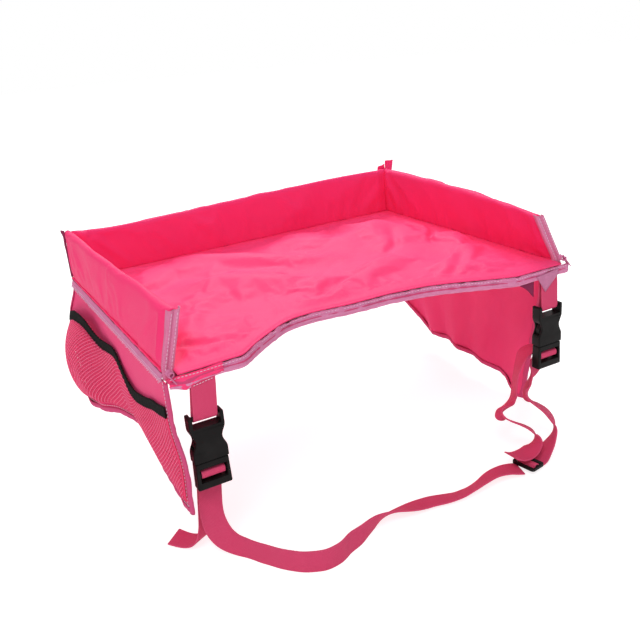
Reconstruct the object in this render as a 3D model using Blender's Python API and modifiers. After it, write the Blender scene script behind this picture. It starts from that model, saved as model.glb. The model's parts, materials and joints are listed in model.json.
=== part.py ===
"""Car seat tray table: a fabric tray with boarded walls, hanging side flaps with mesh pockets,
and one webbing strap with two side-release buckles and a slider."""

import math

import bmesh
import bpy
from mathutils import Matrix, Vector

# Clearance between pieces that touch, and the overrun of every cutter
GAP = 0.0003
OVERRUN = 0.002
MERGE_DISTANCE = 0.00001

# Tray plan, with the origin on its underside: back edge at +Y, front edge at -Y
HALF_WIDTH = 0.200
BACK_REACH = 0.150
FRONT_REACH = 0.155
CUTOUT_DEPTH = 0.042
CUTOUT_HALF_WIDTH = 0.140
CUTOUT_SHOULDER_SHARE = 2.2
FRONT_POINTS = 32

# Layers of the tray floor
BASE_THICKNESS = 0.001
BOARD_THICKNESS = 0.003
FLOOR_THICKNESS = 0.0034
FLOOR_EDGE_ROUND = 0.0012
BOARD_INSET = 0.004

# Walls: a fabric sleeve over a board, upright at the back and leaning in towards the front
WALL_HEIGHT = 0.0567
WALL_THICKNESS = 0.007
SLEEVE_THICKNESS = 0.0012
WALL_FRONT_GAP = 0.0105
LEFT_LEAN = 0.013
RIGHT_LEAN = 0.024
LEFT_SETBACK = 0.002
RIGHT_SETBACK = 0.013
WALL_RIPPLE = 0.0004
RIPPLE_LENGTH = 0.082
LEAN_START = 0.0080
WALL_COLUMNS = 24
WALL_ROWS = 3

# Sewn bindings and corner seams
BINDING_THICKNESS = 0.0016
BINDING_HEIGHT = 0.0084
END_BINDING_OVERHANG = 0.0006
FIN_WIDTH = 0.0065
FIN_TIP = 0.006

# Side flaps, hanging from the side seams
FLAP_THICKNESS = 0.0016
FLAP_BACK_INSET = 0.005
FLAP_BACK_DRIFT = 0.030
LEFT_FLAP_INSET = 0.005
RIGHT_FLAP_INSET = 0.027
LEFT_FLAP_DRIFT = -0.010
RIGHT_FLAP_DRIFT = 0.031
LEFT_DROP = 0.118
RIGHT_DROP = 0.138
LEFT_SWAY = 0.015
RIGHT_SWAY = 0.004
LEFT_FOLD = 0.0012
RIGHT_FOLD = 0.0050
FOLD_LENGTH = 0.064
HEM_HEIGHT = 0.006
HEM_THICKNESS = 0.0022
FLAP_COLUMNS = 28
FLAP_ROWS = 12

# Shares of a flap's drop, from its back edge to its front edge
LEFT_DROP_SHARES = (0.80, 0.88, 0.853, 0.805, 0.85, 0.90, 0.89, 0.93, 0.915)
RIGHT_DROP_SHARES = (0.78, 0.98, 1.00, 0.985, 0.99, 1.01, 1.03, 1.08, 1.19)
# Shares of a flap's sway at its seam, mouth, belly and foot, from its back edge to its front edge
SWAY_SHARES = (
    (0, 0.70, 0.90, 0.70), (0, 0.50, 0.90, 1.10), (0, 0.20, 0.50, 0.80), (0, 0.05, 0.10, 0.00),
    (0, 0.00, -0.10, -0.75), (0, 0.00, 0.00, -0.75), (0, 0.00, 0.05, -0.30),
    (0, 0.00, -0.10, -0.20), (0, 0.03, -0.25, -0.15),
)

# Mesh pockets with an elastic mouth, on the outside of the flaps
POCKET_THICKNESS = 0.0009
POCKET_MOUTH_DROP = 0.043
POCKET_MARGIN = 0.006
MOUTH_BULGE = 0.007
BELLY_BULGE = 0.015
BULGE_ROUND_SHARE = 0.6
ELASTIC_HEIGHT = 0.009
ELASTIC_THICKNESS = 0.0014
POCKET_ROWS = 10

# Shares of the mouth's drop and of the pocket's bulge, from the back edge to the front edge
MOUTH_DROP_SHARES = (0.78, 0.56, 0.54, 0.74, 0.72, 1.17, 1.08, 0.86, 0.70)
BULGE_SHARES = (0, 0.85, 1.00, 0.50, 0.14, 0.12, 0.12, 0.08, 0)

# Webbing and the tabs that carry the buckles
WEB_WIDTH = 0.020
WEB_THICKNESS = 0.0014
TAB_INSET = 0.023
TAB_TOP_RADIUS = 0.0016
TAB_EYE = 0.0002
BAR_DROP = 0.0330

# Buckle socket, measured down from the centre of its bar
BAR_RADIUS = 0.0016
SOCKET_HALF_WIDTH = 0.0145
SOCKET_WAIST = 0.0112
SOCKET_MOUTH = 0.0375
SOCKET_DEPTH = 0.0105
SOCKET_HEAD = 0.0024
SOCKET_ROUND = 0.0010
EAR_WIDTH = 0.0030
WEB_SLOT = 0.0075
SHOULDER_DROP = 0.0085
FLARE_DROP = 0.0300
CAVITY_HALF_WIDTH = 0.0096
CAVITY_HALF_DEPTH = 0.0031
CAVITY_TOP = 0.0134
WINDOW_TOP = 0.0140
WINDOW_BOTTOM = 0.0265
WINDOW_HALF_DEPTH = 0.0035

# Buckle plug: a ladder lock with a guide tongue, and two prongs that flex
PLUG_LENGTH = 0.0240
PLUG_HALF_WIDTH = 0.0146
PLUG_TAPER = 0.0008
PLUG_DEPTH = 0.0100
PLUG_ROUND = 0.0013
LADDER_TOP = 0.0052
LADDER_SLOT = 0.0040
LADDER_BAR = 0.0044
LADDER_BAR_DEPTH = 0.0044
LADDER_SIDE = 0.0032
TONGUE_HALF_WIDTH = 0.0022
TONGUE_HALF_DEPTH = 0.0022
TONGUE_REACH = 0.0152
TONGUE_TIP = 0.0014
PRONG_HALF_DEPTH = 0.0024
PRONG_ROOT_X = 0.0071
PRONG_ARM = 0.0026
PRONG_HEAD_DROP = 0.0143
PRONG_PAD_X = 0.0119
PRONG_BARB_X = 0.0114
PRONG_NOSE_X = 0.0076

# Slider of the strap, lying along the run of the webbing
SLIDER_LENGTH = 0.0170
SLIDER_WIDTH = 0.0250
SLIDER_THICKNESS = 0.0026
SLIDER_SLOT_LENGTH = 0.0042
SLIDER_BAR = 0.0030
SLIDER_CORNER = 0.0030
SLIDER_HEADING = math.radians(10)
WRAP_RISE = 0.0010

# Steps of round outlines and of the webbing's route
CORNER_STEPS = 5
LOOP_FOOT_STEPS = 16
LOOP_TOP_STEPS = 8
BAR_STEPS = 24
WAIST_STEPS = 14
STRAP_STEPS_PER_POINT = 4

COLOURS = {
    "floor_cloth": ((0.90, 0.16, 0.30, 1), 0.75),
    "wall_cloth": ((0.80, 0.05, 0.14, 1), 0.72),
    "flap_cloth": ((0.70, 0.08, 0.20, 1), 0.75),
    "net": ((0.62, 0.05, 0.15, 1), 0.80),
    "binding": ((0.55, 0.20, 0.36, 1), 0.70),
    "webbing": ((0.52, 0.10, 0.20, 1), 0.68),
    "elastic": ((0.02, 0.02, 0.02, 1), 0.80),
    "moulding": ((0.015, 0.015, 0.015, 1), 0.38),
    "board": ((0.75, 0.75, 0.72, 1), 0.60),
}

# Where the bar of the right socket stands in the routes below
ROUTE_STRAP_X = 0.1770
ROUTE_TAB_Y = -0.1542
ROUTE_BAR_Z = -0.0333
ROUTE_SLIDER = (0.1105, -0.2020, -0.1590)

# Routes of the free webbing, point by point, each with the direction of its width
TAIL_ROUTE = [
    (-0.1770, -0.1483, -0.0793), (-0.1770, -0.1460, -0.0793), (-0.1770, -0.1436, -0.0800),
    (-0.1770, -0.1420, -0.0825), (-0.1770, -0.1413, -0.0880), (-0.1775, -0.1410, -0.1000),
    (-0.1790, -0.1405, -0.1150), (-0.1805, -0.1395, -0.1300), (-0.1825, -0.1370, -0.1440),
    (-0.1860, -0.1325, -0.1550), (-0.1915, -0.1260, -0.1610), (-0.1985, -0.1175, -0.1630),
    (-0.2060, -0.1085, -0.1615),
]
TAIL_SPREAD = [
    (1, 0, 0), (1, 0, 0), (1, 0, 0), (1, 0, 0), (1, 0, 0), (1, 0, 0),
    (1, 0, 0), (1, 0.1, 0), (1, 0.25, 0), (0.95, 0.45, 0), (0.85, 0.6, 0), (0.8, 0.65, 0),
    (0.8, 0.65, 0.1),
]
RUN_ROUTE = [
    (-0.1770, -0.1483, -0.0857), (-0.1770, -0.1470, -0.0858), (-0.1770, -0.1455, -0.0868),
    (-0.1770, -0.1449, -0.0888), (-0.1775, -0.1449, -0.0970), (-0.1790, -0.1458, -0.1100),
    (-0.1805, -0.1472, -0.1240), (-0.1795, -0.1495, -0.1370), (-0.1755, -0.1535, -0.1475),
    (-0.1690, -0.1600, -0.1535), (-0.1610, -0.1710, -0.1550), (-0.1530, -0.1850, -0.1550),
    (-0.1430, -0.2000, -0.1550), (-0.1310, -0.2120, -0.1550), (-0.1160, -0.2190, -0.1550),
    (-0.1020, -0.2180, -0.1550), (-0.0890, -0.2120, -0.1550), (-0.0740, -0.2070, -0.1555),
    (-0.0580, -0.2000, -0.1560), (-0.0420, -0.1955, -0.1570), (-0.0280, -0.1945, -0.1590),
    (-0.0130, -0.1945, -0.1610), (0.0020, -0.1950, -0.1625), (0.0170, -0.1980, -0.1630),
    (0.0310, -0.2010, -0.1630), (0.0430, -0.2020, -0.1615), (0.0560, -0.2010, -0.1595),
    (0.0700, -0.1995, -0.1580), (0.0840, -0.1995, -0.1585), (0.0940, -0.2010, -0.1600),
    (0.1010, -0.2030, -0.1616),
]
RUN_SPREAD = [
    (1, 0, 0), (1, 0, 0), (1, 0, 0), (1, 0, 0), (1, 0, 0), (1, 0, 0.1), (0.95, 0, 0.3),
    (0.8, 0, 0.6), (0.5, 0, 0.85), (0.2, 0, 1), (0, 0, 1), (0, 0, 1), (0, 0, 1),
    (0, 0, 1), (0, 0, 1), (0, 0, 1), (0, 0, 1), (0, -0.1, 1), (0, -0.4, 1),
    (0, -0.9, 0.8), (0, -1, 0.45), (0, -1, 0.2), (0, -1, 0.15), (0, -1, 0.2), (0, -1, 0.35),
    (0, -1, 0.5), (0, -1, 0.5), (0, -1, 0.3), (0, -1, 0.1), (-0.17, -1, 0), (-0.17, -1, 0),
]
OUT_ROUTE = [
    (0.1770, -0.1483, -0.0857), (0.1770, -0.1469, -0.0859), (0.1769, -0.1452, -0.0875),
    (0.1765, -0.1441, -0.0910), (0.1750, -0.1434, -0.0960), (0.1700, -0.1440, -0.1020),
    (0.1615, -0.1480, -0.1085), (0.1535, -0.1535, -0.1145), (0.1485, -0.1590, -0.1180),
    (0.1475, -0.1650, -0.1205), (0.1495, -0.1720, -0.1235), (0.1540, -0.1790, -0.1285),
    (0.1567, -0.1850, -0.1355), (0.1545, -0.1900, -0.1430), (0.1446, -0.1950, -0.1500),
    (0.1330, -0.1990, -0.1560), (0.1260, -0.2005, -0.1600), (0.1200, -0.2010, -0.1616),
]
OUT_SPREAD = [
    (1, 0, 0), (1, 0, 0), (1, 0, 0), (1, 0, 0), (1, 0, 0), (0.95, 0.3, 0),
    (0.6, 0.75, -0.2), (0.45, 0.8, -0.3), (0.5, 0.8, -0.3), (0.6, 0.75, -0.3), (0.7, 0.7, -0.3),
    (0.8, 0.6, -0.3), (0.8, 0.6, -0.35), (0.65, 0.7, -0.35), (0.4, 0.9, -0.3), (0, 1, -0.2),
    (-0.15, 1, 0), (-0.17, 1, 0),
]
BACK_ROUTE = [
    (0.1770, -0.1483, -0.0793), (0.1770, -0.1460, -0.0793), (0.1766, -0.1430, -0.0796),
    (0.1748, -0.1396, -0.0804), (0.1710, -0.1370, -0.0820), (0.1660, -0.1362, -0.0850),
    (0.1600, -0.1380, -0.0900), (0.1530, -0.1415, -0.0955), (0.1465, -0.1450, -0.1020),
    (0.1415, -0.1485, -0.1105), (0.1365, -0.1520, -0.1185), (0.1275, -0.1560, -0.1222),
    (0.1170, -0.1605, -0.1225), (0.1105, -0.1655, -0.1235), (0.1115, -0.1715, -0.1265),
    (0.1195, -0.1780, -0.1312), (0.1282, -0.1835, -0.1370), (0.1325, -0.1880, -0.1425),
    (0.1290, -0.1920, -0.1478), (0.1205, -0.1955, -0.1505), (0.1110, -0.1980, -0.1518),
    (0.1010, -0.1985, -0.1505), (0.0930, -0.1975, -0.1470),
]
BACK_SPREAD = [
    (1, 0, 0), (1, 0, 0), (0.97, 0.25, 0), (0.8, 0.6, 0), (0.45, 0.9, 0), (0.2, 1, 0),
    (0.3, 0.9, -0.2), (0.4, 0.85, -0.3), (0.43, 0.83, -0.36), (0.43, 0.83, -0.36),
    (0.43, 0.83, -0.36), (0.43, 0.83, -0.36), (0.43, 0.83, -0.36), (0.43, 0.83, -0.36),
    (0.43, 0.83, -0.36), (0.43, 0.83, -0.36), (0.6, 0.75, -0.36), (0.6, 0.7, -0.36),
    (0.35, 0.9, -0.3), (0.05, 1, -0.1), (-0.1, 1, 0), (-0.15, 1, 0), (-0.15, 1, 0),
]

# Heights that follow from the layers
BOARD_FOOT = BASE_THICKNESS + GAP
FLOOR_FOOT = BOARD_FOOT + BOARD_THICKNESS + GAP
FLOOR_TOP = FLOOR_FOOT + FLOOR_THICKNESS
WALL_FOOT = BASE_THICKNESS + GAP
WALL_LENGTH = BACK_REACH + FRONT_REACH - WALL_FRONT_GAP
FLAP_BACK = BACK_REACH - FLAP_BACK_INSET
SEAM_X = HALF_WIDTH + GAP + BINDING_THICKNESS
TAB_Y = -FRONT_REACH + BINDING_THICKNESS / 2
TAB_Z = -TAB_TOP_RADIUS - GAP
BAR_Z = TAB_Z - BAR_DROP + TAB_TOP_RADIUS
PLUG_TOP = SOCKET_MOUTH + GAP
STRAP_X = HALF_WIDTH - TAB_INSET
SIDES = {"left": -1, "right": 1}

# Collections and materials


def clear_scene():
    for obj in list(bpy.data.objects):
        bpy.data.objects.remove(obj, do_unlink=True)


def new_collection(name):
    collection = bpy.data.collections.new(name)
    bpy.context.scene.collection.children.link(collection)
    return collection


def make_materials():
    made = {}
    for name, (colour, roughness) in COLOURS.items():
        coat = bpy.data.materials.new(name)
        coat.use_nodes = True
        shader = coat.node_tree.nodes["Principled BSDF"]
        shader.inputs["Base Color"].default_value = colour
        shader.inputs["Roughness"].default_value = roughness
        shader.inputs["Metallic"].default_value = 0.0
        made[name] = coat
    return made


# Shared modelling tools


def add_object(name, mesh, coat, collection):
    obj = bpy.data.objects.new(name, mesh)
    mesh.materials.append(coat)
    collection.objects.link(obj)
    return obj


def block(name, place, stations, coat, collection):
    """A closed block through three rows of lengths, which the function place bends into shape."""
    columns, rows, layers = (list(row) for row in stations)
    bm = bmesh.new()
    bmesh.ops.create_grid(bm, x_segments=len(columns) - 1, y_segments=len(rows) - 1, size=0.5)
    raised = bmesh.ops.extrude_face_region(bm, geom=bm.faces[:])["geom"]
    for vert in [item for item in raised if isinstance(item, bmesh.types.BMVert)]:
        vert.co.z = 1
    bmesh.ops.recalc_face_normals(bm, faces=bm.faces[:])
    for vert in bm.verts:
        column = columns[round((vert.co.x + 0.5) * (len(columns) - 1))]
        row = rows[round((vert.co.y + 0.5) * (len(rows) - 1))]
        vert.co = place(column, row, layers[round(vert.co.z)])
    if bm.calc_volume(signed=True) < 0:
        bmesh.ops.reverse_faces(bm, faces=bm.faces[:])
    mesh = bpy.data.meshes.new(name)
    bm.to_mesh(mesh)
    bm.free()
    return add_object(name, mesh, coat, collection)


def evenly(start, end, steps):
    return [start + (end - start) * step / steps for step in range(steps + 1)]


def upright(x, y, z):
    return Vector((x, y, z))


def outline_solid(name, rings, thickness, frame, coat, collection):
    """A flat outline, with its holes, given its thickness and set in a frame, as a mesh."""
    curve = bpy.data.curves.new(name, "CURVE")
    curve.dimensions = "2D"
    curve.fill_mode = "BOTH"
    curve.extrude = thickness / 2
    for ring in rings:
        spline = curve.splines.new("POLY")
        spline.points.add(len(ring) - 1)
        for point, (x, y) in zip(spline.points, ring):
            point.co = (x, y, 0, 1)
        spline.use_cyclic_u = True
    flat = bpy.data.objects.new(name + "_outline", curve)
    collection.objects.link(flat)
    bpy.context.view_layer.update()
    graph = bpy.context.evaluated_depsgraph_get()
    mesh = bpy.data.meshes.new_from_object(flat.evaluated_get(graph))
    mesh.name = name
    bpy.data.objects.remove(flat, do_unlink=True)
    bm = bmesh.new()
    bm.from_mesh(mesh)
    bmesh.ops.remove_doubles(bm, verts=bm.verts[:], dist=MERGE_DISTANCE)
    bmesh.ops.transform(bm, matrix=frame, verts=bm.verts[:])
    bmesh.ops.recalc_face_normals(bm, faces=bm.faces[:])
    bm.to_mesh(mesh)
    bm.free()
    mesh.materials.clear()
    return add_object(name, mesh, coat, collection)


def facing_front(x, y, z):
    """Frame of an outline drawn in X and Z, whose thickness runs along Y."""
    return Matrix.Translation((x, y, z)) @ Matrix.Rotation(math.radians(90), 4, "X")


def facing_side(x, y, z):
    """Frame of an outline drawn in Y and Z, whose thickness runs along X."""
    turn = Matrix(((0, 0, 1, 0), (1, 0, 0, 0), (0, 1, 0, 0), (0, 0, 0, 1)))
    return Matrix.Translation((x, y, z)) @ turn


def round_edges(obj, width):
    bevel = obj.modifiers.new("rounded_edges", "BEVEL")
    bevel.width = width
    bevel.segments = 2
    bevel.limit_method = "ANGLE"
    bevel.angle_limit = math.radians(40)


def combine(obj, tool, operation, cutters):
    """A Boolean of the piece with another mesh, which moves to the cutters."""
    for collection in list(tool.users_collection):
        collection.objects.unlink(tool)
    cutters.objects.link(tool)
    tool.hide_render = True
    tool.display_type = "WIRE"
    boolean = obj.modifiers.new(tool.name, "BOOLEAN")
    boolean.operation = operation
    boolean.object = tool
    boolean.solver = "EXACT"


def axis_empty(name, place, collection, carrier=None):
    empty = bpy.data.objects.new(name, None)
    empty.empty_display_size = BAR_DROP
    empty.location = place
    collection.objects.link(empty)
    if carrier:
        carry(empty, carrier)
    return empty


def carry(obj, carrier):
    bpy.context.view_layer.update()
    obj.parent = carrier
    obj.matrix_parent_inverse = carrier.matrix_world.inverted()


# Tray floor


def front_y(x):
    """The front edge: straight at both ends, with the cut-out that takes the child's body."""
    share = min(1.0, abs(x) / CUTOUT_HALF_WIDTH)
    bump = (1 + math.cos(math.pi * share**CUTOUT_SHOULDER_SHARE)) / 2
    return -FRONT_REACH + CUTOUT_DEPTH * bump


def front_line(inset, half_width):
    """Points along the front edge, moved in square to it."""
    line = [(-half_width, -FRONT_REACH + inset)]
    probe = CUTOUT_HALF_WIDTH / FRONT_POINTS
    for step in range(FRONT_POINTS + 1):
        x = CUTOUT_HALF_WIDTH * (2 * step / FRONT_POINTS - 1)
        slope = (front_y(x + probe) - front_y(x - probe)) / (2 * probe)
        line.append((x, front_y(x) + inset * math.hypot(1, slope)))
    return line + [(half_width, -FRONT_REACH + inset)]


def tray_layer(name, foot, thickness, side_inset, front_inset, coat, collection):
    half_width = HALF_WIDTH - side_inset
    back = BACK_REACH - side_inset
    ring = front_line(front_inset, half_width) + [(half_width, back), (-half_width, back)]
    frame = Matrix.Translation((0, 0, foot + thickness / 2))
    return outline_solid(name, [ring], thickness, frame, coat, collection)


def make_floor(coats, parts):
    inside_walls = WALL_THICKNESS + GAP
    behind_binding = BINDING_THICKNESS + GAP
    tray_layer("base_cover", 0, BASE_THICKNESS, 0, behind_binding, coats["flap_cloth"], parts)
    board_front = behind_binding + BOARD_INSET
    tray_layer("tray_board", BOARD_FOOT, BOARD_THICKNESS, inside_walls + BOARD_INSET, board_front,
               coats["board"], parts)
    cover = tray_layer("floor_cover", FLOOR_FOOT, FLOOR_THICKNESS, inside_walls, behind_binding,
                       coats["floor_cloth"], parts)
    round_edges(cover, FLOOR_EDGE_ROUND)


# Walls


def side_wall_place(side, lean, setback):
    """Lengths along the wall, up from its foot and in from its outer face, bent to the lean."""
    def place(along, height, depth):
        forward = along / WALL_LENGTH
        rise = max(0.0, height - LEAN_START) / (WALL_HEIGHT - LEAN_START)
        past_corner = max(0.0, along - 2 * WALL_THICKNESS)
        ripple = (1 - math.cos(2 * math.pi * past_corner / RIPPLE_LENGTH)) * WALL_RIPPLE * rise
        inward = depth + lean * forward**2 * rise + ripple
        y = BACK_REACH - along + setback * rise * forward
        return Vector((side * (HALF_WIDTH - inward), y, WALL_FOOT + height))
    return place


def back_wall_place(along, height, depth):
    return Vector((along, BACK_REACH - depth, WALL_FOOT + height))


def make_wall(name, place, start, end, coats, parts, cutters):
    """A sleeve open at its foot, and the board that stiffens it."""
    columns = evenly(start, end, WALL_COLUMNS)[1:-1]
    rows = evenly(LEAN_START, WALL_HEIGHT, WALL_ROWS)[:-1]
    stations = ([start, *columns, end], [0, *rows, WALL_HEIGHT], (0, WALL_THICKNESS))
    sleeve = block(name + "_sleeve", place, stations, coats["wall_cloth"], parts)
    skin = SLEEVE_THICKNESS
    hollow = (
        [start + skin, *columns, end - skin],
        [-OVERRUN, *rows, WALL_HEIGHT - skin],
        (skin, WALL_THICKNESS - skin),
    )
    hollow_cutter = block(name + "_hollow", place, hollow, coats["board"], parts)
    combine(sleeve, hollow_cutter, "DIFFERENCE", cutters)
    slack = skin + GAP
    filling = (
        [start + slack, *columns, end - slack],
        [0, *rows, WALL_HEIGHT - slack],
        (slack, WALL_THICKNESS - slack),
    )
    block(name + "_board", place, filling, coats["board"], parts)


def make_end_binding(name, place, coat, parts):
    start = WALL_LENGTH + GAP
    top = WALL_HEIGHT + END_BINDING_OVERHANG
    stations = (
        [start, start + BINDING_THICKNESS],
        [0, *evenly(LEAN_START, top, WALL_ROWS)],
        (-END_BINDING_OVERHANG, WALL_THICKNESS),
    )
    block(name, place, stations, coat, parts)


def make_walls(coats, parts, cutters):
    leans = {"left": (LEFT_LEAN, LEFT_SETBACK), "right": (RIGHT_LEAN, RIGHT_SETBACK)}
    for name, side in SIDES.items():
        place = side_wall_place(side, *leans[name])
        make_wall(name + "_wall", place, 0, WALL_LENGTH, coats, parts, cutters)
        make_end_binding(name + "_wall_end_binding", place, coats["binding"], parts)
    reach = HALF_WIDTH - WALL_THICKNESS - GAP
    make_wall("back_wall", back_wall_place, -reach, reach, coats, parts, cutters)


# Bindings and corner seams


def make_front_binding(coats, parts):
    outer = front_line(0, HALF_WIDTH)
    inner = front_line(BINDING_THICKNESS, HALF_WIDTH)
    frame = Matrix.Translation((0, 0, BINDING_HEIGHT / 2))
    ring = outer + inner[::-1]
    outline_solid("front_edge_binding", [ring], BINDING_HEIGHT, frame, coats["binding"], parts)


def make_base_bindings(coats, parts):
    coat = coats["binding"]
    for name, side in SIDES.items():
        stations = (
            (side * (HALF_WIDTH + GAP), side * SEAM_X),
            (BACK_REACH - WALL_LENGTH, BACK_REACH),
            (0, BINDING_HEIGHT),
        )
        block(name + "_side_binding", upright, stations, coat, parts)
    back = BACK_REACH + GAP
    stations = (
        (-HALF_WIDTH, HALF_WIDTH),
        (back, back + BINDING_THICKNESS),
        (0, BINDING_HEIGHT),
    )
    block("back_base_binding", upright, stations, coat, parts)


def make_corner_seams(coats, parts):
    """Upright seam allowances at the back corners, each ending in a small tip above the wall."""
    foot = BINDING_HEIGHT + GAP
    top = WALL_FOOT + WALL_HEIGHT
    ring = [
        (GAP, foot), (FIN_WIDTH, foot), (FIN_WIDTH, top), (FIN_WIDTH, top + FIN_TIP),
        (FIN_WIDTH / 2, top + FIN_TIP / 2), (GAP, top),
    ]
    for name, side in SIDES.items():
        heading = math.radians(90 - 45 * side)
        turn = Matrix.Rotation(heading, 4, "Z")
        frame = Matrix.Translation((side * HALF_WIDTH, BACK_REACH, 0)) @ turn @ facing_front(0, 0, 0)
        outline_solid("back_" + name + "_corner_seam", [ring], BINDING_THICKNESS, frame,
                      coats["binding"], parts)


# Flaps and pockets


def smooth_between(points, position):
    """A point on the smooth curve through the route, at a position counted in route points."""
    index = min(int(position), len(points) - 2)
    share = position - index
    before = points[max(index - 1, 0)]
    start, end = points[index], points[index + 1]
    after = points[min(index + 2, len(points) - 1)]
    bend = (end - before) * share - (2 * before - 5 * start + 4 * end - after) * -share**2
    rise = (3 * start - before - 3 * end + after) * share**3
    return start + (bend + rise) / 2


def share_at(shares, way):
    """A share read from its table, at a share of the way along the table."""
    return smooth_between(shares, way * (len(shares) - 1))


class Flap:
    """The hanging form of one flap, which its bindings and its pocket follow."""

    def __init__(self, side, inset, drift, full_drop, drop_shares, sway, fold_depth):
        self.side = side
        self.front = FRONT_REACH - inset
        self.drift = drift
        self.full_drop = full_drop
        self.drop_shares = drop_shares
        self.sway_reach = sway
        self.fold_depth = fold_depth

    def drop(self, along):
        """Length of the flap at a share of its way from the back edge to the front edge."""
        return self.full_drop * share_at(self.drop_shares, along)

    def edge_y(self, along, down):
        lowered = down / self.full_drop
        back = FLAP_BACK - FLAP_BACK_DRIFT * lowered * lowered
        front = -self.front + self.drift * lowered
        return back + (front - back) * along

    def fold(self, along, down):
        """Soft folds, which open towards the lower edge."""
        way = along * (FLAP_BACK + self.front)
        wave = (1 - math.cos(2 * math.pi * way / FOLD_LENGTH)) / 2
        return self.fold_depth * wave * down / self.full_drop

    def sway(self, along, down):
        """How far the flap hangs out of the upright: out at the back, in under the tray before it."""
        lowered = down / self.drop(along)
        return self.sway_reach * share_at([share_at(row, lowered) for row in SWAY_SHARES], along)

    def place(self, along, down, depth):
        out = HALF_WIDTH + GAP + self.fold(along, down) + self.sway(along, down) + depth
        return Vector((self.side * out, self.edge_y(along, down), -GAP - down))

    def cloth(self, along, share, depth):
        return self.place(along, share * self.drop(along), depth)

    def hem(self, along, down, depth):
        return self.place(along, self.drop(along) + GAP + down, depth)

    def front_binding(self, forward, share, depth):
        """Along the front edge, a length in front of the cloth and a share of the drop down."""
        down = share * (self.drop(1) + GAP + HEM_HEIGHT)
        return self.place(1 + forward / (FLAP_BACK + self.front), down, depth)

    def bulge(self, along, share):
        reach = MOUTH_BULGE * (1 - share) + BELLY_BULGE * max(0.0, math.sin(math.pi * share)) ** BULGE_ROUND_SHARE
        return reach * share_at(BULGE_SHARES, along)

    def pocket_ways(self):
        """Shares of the way from the back edge to the front edge, between the pocket's side seams."""
        margin = POCKET_MARGIN / (FLAP_BACK + self.front)
        return evenly(margin, 1 - margin, FLAP_COLUMNS)

    def mouth_drop(self, along):
        return POCKET_MOUTH_DROP * share_at(MOUTH_DROP_SHARES, along)

    def pocket(self, along, share, depth):
        top = self.mouth_drop(along)
        foot = self.drop(along) - POCKET_MARGIN
        out = FLAP_THICKNESS + 2 * GAP + depth + self.bulge(along, share)
        return self.place(along, top + (foot - top) * share, out)

    def mouth(self, along, rise, depth):
        out = FLAP_THICKNESS + 2 * GAP + depth + self.bulge(along, 0)
        return self.place(along, self.mouth_drop(along) - rise, out)


FLAPS = {
    "left": Flap(-1, LEFT_FLAP_INSET, LEFT_FLAP_DRIFT, LEFT_DROP, LEFT_DROP_SHARES, LEFT_SWAY, LEFT_FOLD),
    "right": Flap(1, RIGHT_FLAP_INSET, RIGHT_FLAP_DRIFT, RIGHT_DROP, RIGHT_DROP_SHARES, RIGHT_SWAY,
                  RIGHT_FOLD),
}


def make_flap(name, flap, coats, parts):
    carrier = axis_empty(name + "_flap_axis", (flap.side * SEAM_X, 0, 0), parts)
    pocket_ways = flap.pocket_ways()
    ways = [0, *pocket_ways, 1]
    cloth_stations = (ways, evenly(0, 1, FLAP_ROWS), (0, FLAP_THICKNESS))
    cloth = block(name + "_flap", flap.cloth, cloth_stations, coats["flap_cloth"], parts)
    extra = (HEM_THICKNESS - FLAP_THICKNESS) / 2
    thick = (-extra, FLAP_THICKNESS + extra)
    hem = block(name + "_flap_hem", flap.hem, (ways, (0, HEM_HEIGHT), thick), coats["binding"], parts)
    front_stations = ((GAP, HEM_HEIGHT), evenly(0, 1, FLAP_ROWS), thick)
    front = block(name + "_flap_front_binding", flap.front_binding, front_stations, coats["binding"],
                  parts)
    net_stations = (pocket_ways, evenly(0, 1, POCKET_ROWS), (0, POCKET_THICKNESS))
    net = block(name + "_mesh_pocket", flap.pocket, net_stations, coats["net"], parts)
    band_stations = (pocket_ways, (GAP, ELASTIC_HEIGHT), (0, ELASTIC_THICKNESS))
    band = block(name + "_pocket_elastic", flap.mouth, band_stations, coats["elastic"], parts)
    for piece in (cloth, hem, front, net, band):
        carry(piece, carrier)


# Buckles


def arc(centre, radius, start, end, steps):
    """Points on an arc, counted in degrees from +X towards +Y."""
    points = []
    for step in range(steps + 1):
        angle = math.radians(start + (end - start) * step / steps)
        points.append((centre[0] + radius * math.cos(angle), centre[1] + radius * math.sin(angle)))
    return points


def teardrop(top_radius, foot_radius, length):
    """A loop around a bar at the origin, drawn together at its top by straight legs."""
    lean = math.degrees(math.asin((foot_radius - top_radius) / length))
    foot = arc((0, 0), foot_radius, lean, -180 - lean, LOOP_FOOT_STEPS)
    top = arc((0, length), top_radius, 180 - lean, lean, LOOP_TOP_STEPS)
    return foot + top


def rectangle(left, right, bottom, top):
    return [(left, bottom), (right, bottom), (right, top), (left, top)]


def box(name, x, y, z, coat, parts):
    return block(name, upright, (x, y, z), coat, parts)


def socket_half_width(drop):
    """Half the width of the socket: full at its head and mouth, drawn in between for the fingers."""
    share = (drop - SHOULDER_DROP) / (FLARE_DROP - SHOULDER_DROP)
    if share <= 0 or share >= 1:
        return SOCKET_HALF_WIDTH
    return SOCKET_HALF_WIDTH - (SOCKET_HALF_WIDTH - SOCKET_WAIST) * math.sin(math.pi * share) ** 2


def socket_ring():
    drops = [-SOCKET_HEAD, *evenly(SHOULDER_DROP, FLARE_DROP, WAIST_STEPS), SOCKET_MOUTH]
    right = [(socket_half_width(drop), -drop) for drop in drops]
    return right + [(-x, z) for x, z in reversed(right)]


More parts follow.
